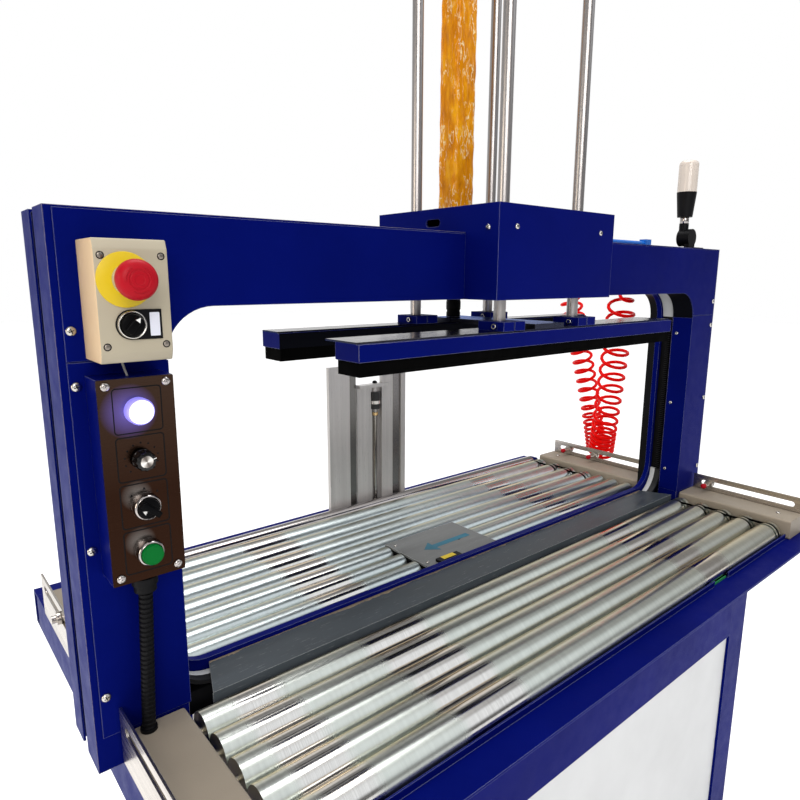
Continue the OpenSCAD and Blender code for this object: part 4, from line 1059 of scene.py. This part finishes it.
def add_stop_box():
    build = Build()
    side = [
        (-BOX_HIGH, 0.0), (-BOX_HIGH, SLOPE_Y), (-SLOPE_Z, BOX_FRONT),
        (SLOPE_Z, BOX_FRONT), (BOX_HIGH, SLOPE_Y), (BOX_HIGH, 0.0),
    ]
    body = prism(side, BOX_W)
    bmesh.ops.bevel(body, geom=body.edges[:], offset=BOX_EDGE, segments=3, profile=0.5, affect="EDGES")
    bmesh.ops.transform(body, matrix=facing_side(BOX_X - BOX_W / 2, 0.0, BOX_Z, 1), verts=body.verts)
    build.add(body)
    build.bm.normal_update()
    # Faces turned to the left take the paler, warmer beige as painted light from the left
    for face in build.bm.faces:
        if face.normal.x < LEFTWARD:
            face.material_index = LIT_SIDE_SLOT
    for sx in (-BOX_SCREW_X, BOX_SCREW_X):
        for dz in BOX_SCREW_Z:
            at = facing_front(BOX_X + sx, BOX_FRONT, BOX_Z + dz)
            # A black disc round each screw head: painted shade of its recess
            build.add(turned([(3.9, -0.1), (3.9, 0.1), (0.0, 0.12)], FINE_SIDES), 2, at.copy())
            build.add(turned([(2.8, 0.0), (2.8, 0.2), (2.3, 0.5), (0.0, 0.5)], FINE_SIDES), 1, at.copy())
    piece = build.piece("stop_box_shell", [BEIGE, MUTED, BLACK, BEIGE_LIT_SIDE], slot="beige_plastic")
    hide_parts("e_stop_box")
    disc = turned([(11.6, 0.0), (27.5, 0.0), (27.5, 1.2), (26.9, DISC_T), (11.6, DISC_T)], 64)
    single("stop_legend_disc", disc, YELLOW, at=facing_front(STOP_X - DISC_LEFT, BOX_FRONT, STOP_Z))
    fittings = Build()
    collar = [(11.4, 0.0), (15.6, 0.0), (15.6, 12.2), (14.8, 13.4), (11.4, 13.4)]
    fittings.add(turned(collar, bored=True), 0, facing_front(STOP_X, BOX_FRONT - DISC_T, STOP_Z))
    fittings.add(prism(tab_outline(15.2, 30.5), TAB_T), 1, facing_front(STOP_X, BOX_FRONT, SELECT_Z))
    blank = prism(round_outline(10.0, 24.0, 0.8), 0.4)
    fittings.add(blank, 2, facing_front(STOP_X + LABEL_X, BOX_FRONT - TAB_T, SELECT_Z))
    bezel = [(11.7, TAB_T), (14.2, TAB_T), (14.2, 5.0), (13.7, 5.8), (13.0, 6.0), (11.7, 5.4)]
    fittings.add(turned(bezel, bored=True), 3, facing_front(STOP_X, BOX_FRONT, SELECT_Z))
    fittings.piece("stop_box_fittings", [ALUMINIUM, BLACK, WHITE, BRIGHT])


def add_mushroom():
    build = Build()
    at = facing_front(STOP_X, MUSHROOM_BACK, STOP_Z)
    profile = [
        (11.0, -6.0), (11.0, -1.0), (16.5, -0.6), (18.8, 0.0), (19.8, 1.6), (20.0, 4.5), (19.6, 8.0),
        (18.2, 11.2), (16.2, 13.2), (13.6, 14.4), (10.2, 14.9), (9.6, 14.4), (8.8, 14.4), (8.2, 14.9),
        (5.2, 15.0), (4.7, 14.6), (0.0, 14.6),
    ]
    build.add(turned(profile, 64), 0, at.copy())
    for k in range(ARCS):
        arc = []
        for i in range(9):
            angle = math.radians(360 / ARCS * k + 8 * i)
            arc.append((ARC_R * math.cos(angle), ARC_R * math.sin(angle), ARC_Z))
        build.add(swept(arc, 0.45, 6), 0, at.copy())
    piece = build.piece("stop_mushroom", [RED], "e_stop_button", "red_plastic")
    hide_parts("e_stop_button")


def knob_piece(name, node, at, back, grip, turn, mark):
    """Black selector with a raised grip and a pale pointer; grip is its half width, reach and height"""
    build = Build()
    barrel = [(11.3, back), (11.3, -0.8), (10.8, 0.3), (9.8, 0.8), (0.0, 0.8)]
    build.add(turned(barrel), 0, at.copy())
    spin = at @ Matrix.Rotation(math.radians(turn), 4, "Z")
    half, reach, high = grip
    build.add(block((-half, -reach, 0.2), (half, reach, high), 1.5, 3), 0, spin.copy())
    arrow = prism([(0.0, 2.6), (-2.7, -2.1), (2.7, -2.1)], 0.3)
    build.add(arrow, 1, at @ mark)
    piece = build.piece(name, [DEEP_BLACK, MARK], node, "black_plastic")
    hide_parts(node)


# Control box face

FACE_W = 79.0
FACE_T = 1.5
PRINT_T = 0.15
FRAME_Z = 1207.2
FRAME_PITCH = 52.6
BEZEL_H = 12.0
DIAL_R = 17.6
DIAL_MARKS = 11
DIAL_SWEEP = 270
SELECT_R = 19.5
KNOB_GAP = 3.4
POINTER_TURN = -75
UPPER_OUT = 8.2
UPPER_TURN = -40
LOWER_OUT = 1.2
LOWER_TURN = 50


def on_face(row, right=0.0, up=0.0):
    """A place on the control face, from the middle of a row of buttons"""
    return facing_front(CONTROL_X + right, FACE_Y, BUTTON_Z - row * PITCH + up)


def on_circle(row, radius, degrees):
    angle = math.radians(degrees)
    return on_face(row, radius * math.cos(angle), radius * math.sin(angle))


def add_selectors():
    upper = facing_front(STOP_X, BOX_FRONT - UPPER_OUT, SELECT_Z)
    spot = Matrix.Translation((4.4, 5.2, 3.85)) @ Matrix.Rotation(math.radians(UPPER_TURN), 4, "Z")
    knob_piece("upper_selector_knob", "upper_selector", upper, -6.4, (4.2, 9.6, 4.0), UPPER_TURN, spot)
    lower = on_face(2) @ Matrix.Translation((0.0, 0.0, BEZEL_H + LOWER_OUT))
    spot = Matrix.Translation((-4.6, -4.0, 0.75)) @ Matrix.Rotation(math.pi, 4, "Z")
    knob_piece("lower_selector_knob", "lower_selector", lower, -7.0, (3.4, 12.4, 9.0), LOWER_TURN, spot)


def add_control_face():
    build = Build()
    plate = prism(round_outline(FACE_W, CONTROL_H, 1.5), FACE_T)
    build.add(plate, 0, facing_front(CONTROL_X, FACE_Y + FACE_T, CONTROL_Z + CONTROL_H / 2))
    for i in range(4):
        build.add(
            ring_prism(round_outline(51.2, 49.8, 4.2), round_outline(48.8, 47.4, 3.2), PRINT_T), 2,
            facing_front(CONTROL_X, FACE_Y, FRAME_Z - i * FRAME_PITCH),
        )
    ring = [(11.5, 0.0), (14.5, 0.0), (14.5, 9.4), (13.7, 11.2), (12.6, BEZEL_H), (11.5, 11.4)]
    # The lit button's bezel takes the painted glow (slot 3), the others chrome
    for row, shine in ((0, 3), (2, 1), (3, 1)):
        build.add(turned(ring, bored=True), shine, on_face(row))
    nut = [(3.6, 0.0), (7.0, 0.0), (7.0, 3.0), (3.6, 3.0)]
    build.add(turned(nut, 32, bored=True), 1, on_face(1))
    dot = [(0.0, 0.0), (1.0, 0.0), (0.9, PRINT_T), (0.0, PRINT_T)]
    for k in range(DIAL_MARKS):
        turn = 90 + DIAL_SWEEP * (0.5 - k / (DIAL_MARKS - 1))
        build.add(turned(dot, 12), 2, on_circle(1, DIAL_R, turn))
    for turn in (45, 90, 135):
        tick = prism([(-1.5, -1.5), (1.5, -1.5), (0.0, 1.4)], PRINT_T)
        build.add(tick, 2, on_circle(2, SELECT_R, turn))
    piece = build.piece("control_face_plate", [FACE, CHROME, BLACK, HALO], slot="stainless")
    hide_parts("control_face")


def add_buttons():
    top = [(11.0, 6.2), (11.0, 16.3), (10.6, 17.1), (9.4, 17.5), (0.0, 17.5)]
    piece = single("lit_button_cap", turned(top), LIT, "lit_button", on_face(0), "white_lens")
    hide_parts("lit_button")
    # A ring on the bezel's lip that carries the painted glow of the lit button
    rim = [(11.5, 11.5), (12.9, 12.0), (12.7, 12.5), (11.5, 12.7)]
    single("lit_button_rim", turned(rim, bored=True), RIM, at=on_face(0))
    cap = [(11.3, 6.2), (11.3, 15.9), (11.0, 16.6), (10.3, 17.0), (10.0, 16.6), (0.0, 16.6)]
    piece = single("green_button_cap", turned(cap), GREEN, "green_button", on_face(3), "green_plastic")
    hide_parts("green_button")
    knob = Build()
    at = on_face(1) @ Matrix.Translation((0.0, 0.0, KNOB_GAP))
    knob.add(turned([(3.0, -0.3), (3.0, 0.5), (2.0, 0.6)], FINE_SIDES), 0, at.copy())
    knob.add(turned([(11.4, 0.0), (11.4, 2.0), (10.6, 2.6)]), 0, at.copy())
    knob.add(turned([(10.9, 2.2), (10.6, 11.4), (9.6, 13.4), (6.8, 14.0)], 72, 0.045, 12), 0, at.copy())
    knob.add(turned([(6.6, 13.6), (6.6, 14.6), (6.1, 15.0), (0.0, 15.0)], 36), 1, at.copy())
    pointer = at @ Matrix.Rotation(math.radians(POINTER_TURN), 4, "Z")
    knob.add(block((-0.4, 6.8, 13.2), (0.4, 10.4, 14.1)), 2, pointer)
    piece = knob.piece("pot_knob_cap", [GLOSS_BLACK, CAP, MARK], "pot_knob", "black_plastic")
    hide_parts("pot_knob")


# Small pieces on the press, the gate, the sensors, the lamp and the deck

CLAMP_X = 100.0
CLAMP_SCREW = Vector((-26.0, -15.0, 7.5))
SHEET_SPAN = (-0.4, 0.15)
LAMP_POLE = Vector((684.0, 65.6, 0.0))
SENSOR_IN = 32.0
SENSOR_TIPS = (
    ("sensor_front_right", 1, (-43.0,)),
    ("sensor_rear_right", 1, (297.0, 387.0)),
    ("sensor_rear_left", -1, (300.0,)),
)
MARK_T = 0.25


def add_press_pieces():
    joint = [
        (13.1, 1270.4), (14.0, 1271.4), (14.0, 1279.0), (13.1, 1280.0), (13.1, 1283.0), (14.4, 1284.5),
        (14.4, 1299.0), (13.4, 1303.6), (9.6, 1304.0),
    ]
    single("press_joint_cover", turned(joint, 36), BLACK, "press", Matrix.Translation((0.0, REAR_ROW, 0.0)))
    sheets = Build()
    low, high = SHEET_SPAN
    for near_y, far_y in SHEETS:
        sheets.add(block((-BAR_HALF, near_y, SHEET_TOP + low), (BAR_HALF, far_y, SHEET_TOP + high), 0.1, 1))
    sheets.piece("press_bar_sheets", [SHEET], "press")
    caps = Build()
    head = [(4.8, 0.0), (4.8, 4.8), (4.3, 5.3), (2.8, 5.3), (2.8, 3.0), (0.0, 3.0)]
    for y in (FRONT_ROW, REAR_ROW):
        for x in (-CLAMP_X, CLAMP_X):
            at = Vector((x, y, SHEET_TOP)) + CLAMP_SCREW
            caps.add(turned(head, FINE_SIDES), 0, facing_side(at.x, at.y, at.z, -1))
    caps.piece("clamp_screw_heads", [BRIGHT], "press")


def add_gate_pieces():
    gate = Build()
    # A bright ring on the floating joint's black body as a painted highlight
    highlight_band = [(13.9, 1036.5), (14.3, 1037.0), (14.3, 1044.5), (13.9, 1045.0)]
    nut = [(7.4, 1006.5), (8.4, 1007.5), (8.4, 1014.0), (7.4, 1015.0)]
    bolt = [(0.0, 1088.2), (6.0, 1088.2), (6.0, 1091.0), (4.6, 1093.4), (2.4, 1094.4), (0.0, 1094.6)]
    for slot, (profile, sides) in enumerate(((highlight_band, SIDES), (nut, FINE_SIDES), (bolt, FINE_SIDES))):
        gate.add(turned(profile, sides), slot, Matrix.Translation(GATE_JOINT))
    gate.piece("gate_joint_rings", [BRIGHT, BRASS, BLACK], "stop_gate")


def add_sensor_tips():
    dome = [(6.2, -5.0), (6.2, 1.0), (5.6, 3.4), (4.0, 5.0), (0.0, 5.8)]
    for body, side, rows in SENSOR_TIPS:
        tip = Build()
        for y in rows:
            at = facing_side(side * (RAIL_OUT - SENSOR_IN), y, SENSOR_Z, -side)
            tip.add(turned(dome, FINE_SIDES), 0, at)
        tip.piece(body + "_tip", [RED], body)


def add_lamp_and_deck_pieces():
    sleeve = [(10.1, 1479.5), (10.4, 1480.0), (10.4, 1495.0), (10.1, 1495.5)]
    single("lamp_sleeve", turned(sleeve, 32), CHROME, "lamp", Matrix.Translation(LAMP_POLE))
    arrow = [
        (-84.0, 165.0), (-56.0, 186.0), (-56.0, 172.0), (42.0, 172.0), (42.0, 158.0), (-56.0, 158.0),
        (-56.0, 144.0),
    ]
    single("flow_arrow", prism(arrow, MARK_T), TEAL, at=Matrix.Translation((0.0, 0.0, PLATE_TOP)))
    single("exit_mark", block((-90.0, 100.0, 806.0), (-57.0, 112.0, 806.3)), YELLOW)
    cable = [
        (-693.0, -25.0, 1262.0), (-693.5, -25.0, 1255.0), (-692.0, -25.5, 1249.0), (-690.0, -25.0, 1243.0),
        (-689.5, -25.0, 1240.0),
    ]
    single("box_link_cable", swept(cable, 1.3), CABLE)


# Light, floor and surroundings


def add_area(name, at, target, size, power, color=FULL):
    data = bpy.data.lights.new(name, "AREA")
    data.shape = "RECTANGLE"
    data.size = size[0]
    data.size_y = size[1]
    data.energy = power
    data.color = color
    lamp = linked(name, data)
    lamp.location = at
    lamp.rotation_euler = (Vector(target) - Vector(at)).to_track_quat("-Z", "Y").to_euler()


# Brightness of the studio walls by direction, of the ceiling by height, and of a window

AROUND = [
    (0.0, 0.5), (0.14, 0.5), (0.27, 0.3), (0.36, 0.16), (0.45, 0.3), (0.53, 1.0), (0.75, 1.0), (0.82, 0.55),
    (0.9, 0.7), (1.0, 0.5),
]
ABOVE = [(0.73, 0.3), (0.87, 0.32), (0.93, 1.0), (1.0, 1.0)]
WINDOW_AT = (0.534, -0.593, 0.602)
WINDOW_COLOR = (1.2, 1.24, 1.28)
FLOOR_HALF = 20.0
FLOOR_GLOW = 0.5


def add_surroundings():
    floor_bm = bmesh.new()
    bmesh.ops.create_grid(floor_bm, x_segments=1, y_segments=1, size=FLOOR_HALF)
    mesh = bpy.data.meshes.new("floor")
    floor_bm.to_mesh(mesh)
    floor_bm.free()
    floor = linked("floor", mesh)
    paint = coated("floor_paint", (0.88, 0.88, 0.88), 0.7, 0.2, 60.0, 0.0002, 0.0, 0.01)
    shine = paint.node_tree.nodes["Principled BSDF"].inputs
    shine["Emission Color"].default_value = rgb(FULL)
    seen = add_node(paint.node_tree, "ShaderNodeLightPath").outputs
    bare = math_out(paint.node_tree, "MAXIMUM", seen["Is Camera Ray"], seen["Is Glossy Ray"])
    clear = math_out(paint.node_tree, "MAXIMUM", bare, seen["Is Transmission Ray"])
    paint.node_tree.links.new(both(paint.node_tree, clear, FLOOR_GLOW), shine["Emission Strength"])
    mesh.materials.append(paint)
    world = bpy.data.worlds.new("studio")
    bpy.context.scene.world = world
    world.use_nodes = True
    tree = world.node_tree
    back = tree.nodes["Background"]
    spot = add_node(tree, "ShaderNodeTexCoord")
    parts = add_node(tree, "ShaderNodeSeparateXYZ", None, {"Vector": spot.outputs["Generated"]}).outputs
    turn = math_out(tree, "ARCTAN2", parts["Y"], parts["X"])
    around = ramp_out(tree, math_out(tree, "MULTIPLY_ADD", turn, 0.5 / math.pi, 0.5), AROUND)
    rise = math_out(tree, "MULTIPLY_ADD", parts["Z"], 0.5, 0.5)
    above = ramp_out(tree, rise, ABOVE)
    high = ramp_out(tree, rise, [(0.68, 0.0), (0.73, 1.0)])
    facing = add_node(
        tree, "ShaderNodeVectorMath", {"operation": "DOT_PRODUCT"},
        {0: spot.outputs["Generated"], 1: WINDOW_AT},
    )
    window = ramp_out(tree, facing.outputs["Value"], [(0.88, 0.0), (0.96, 1.0)])
    room = mixed_out(tree, high, around, above)
    studio = mixed_out(tree, window, room, rgb(WINDOW_COLOR))
    seen = add_node(tree, "ShaderNodeLightPath").outputs["Is Camera Ray"]
    tree.links.new(mixed_out(tree, seen, studio, rgb(FULL)), back.inputs["Color"])
    back.inputs["Strength"].default_value = 1.0
    add_area("front_light", (-2.4, -3.4, 3.0), (0.0, 0.0, 1.0), (2.6, 2.0), 90.0, (1.0, 0.97, 0.93))
    add_area("top_light", (0.2, 0.4, 4.2), (0.0, 0.0, 0.8), (2.4, 1.6), 60.0)
    add_area("left_light", (-4.0, 0.2, 1.7), (0.0, 0.0, 1.2), (1.6, 1.6), 30.0, (1.0, 0.86, 0.68))


add_camera()
dress_nodes()
add_hoses()
add_screws()
add_film()
add_stop_box()
add_mushroom()
add_selectors()
add_control_face()
add_buttons()
add_press_pieces()
add_gate_pieces()
add_sensor_tips()
add_lamp_and_deck_pieces()
add_surroundings()
bpy.context.scene.view_settings.view_transform = "Standard"
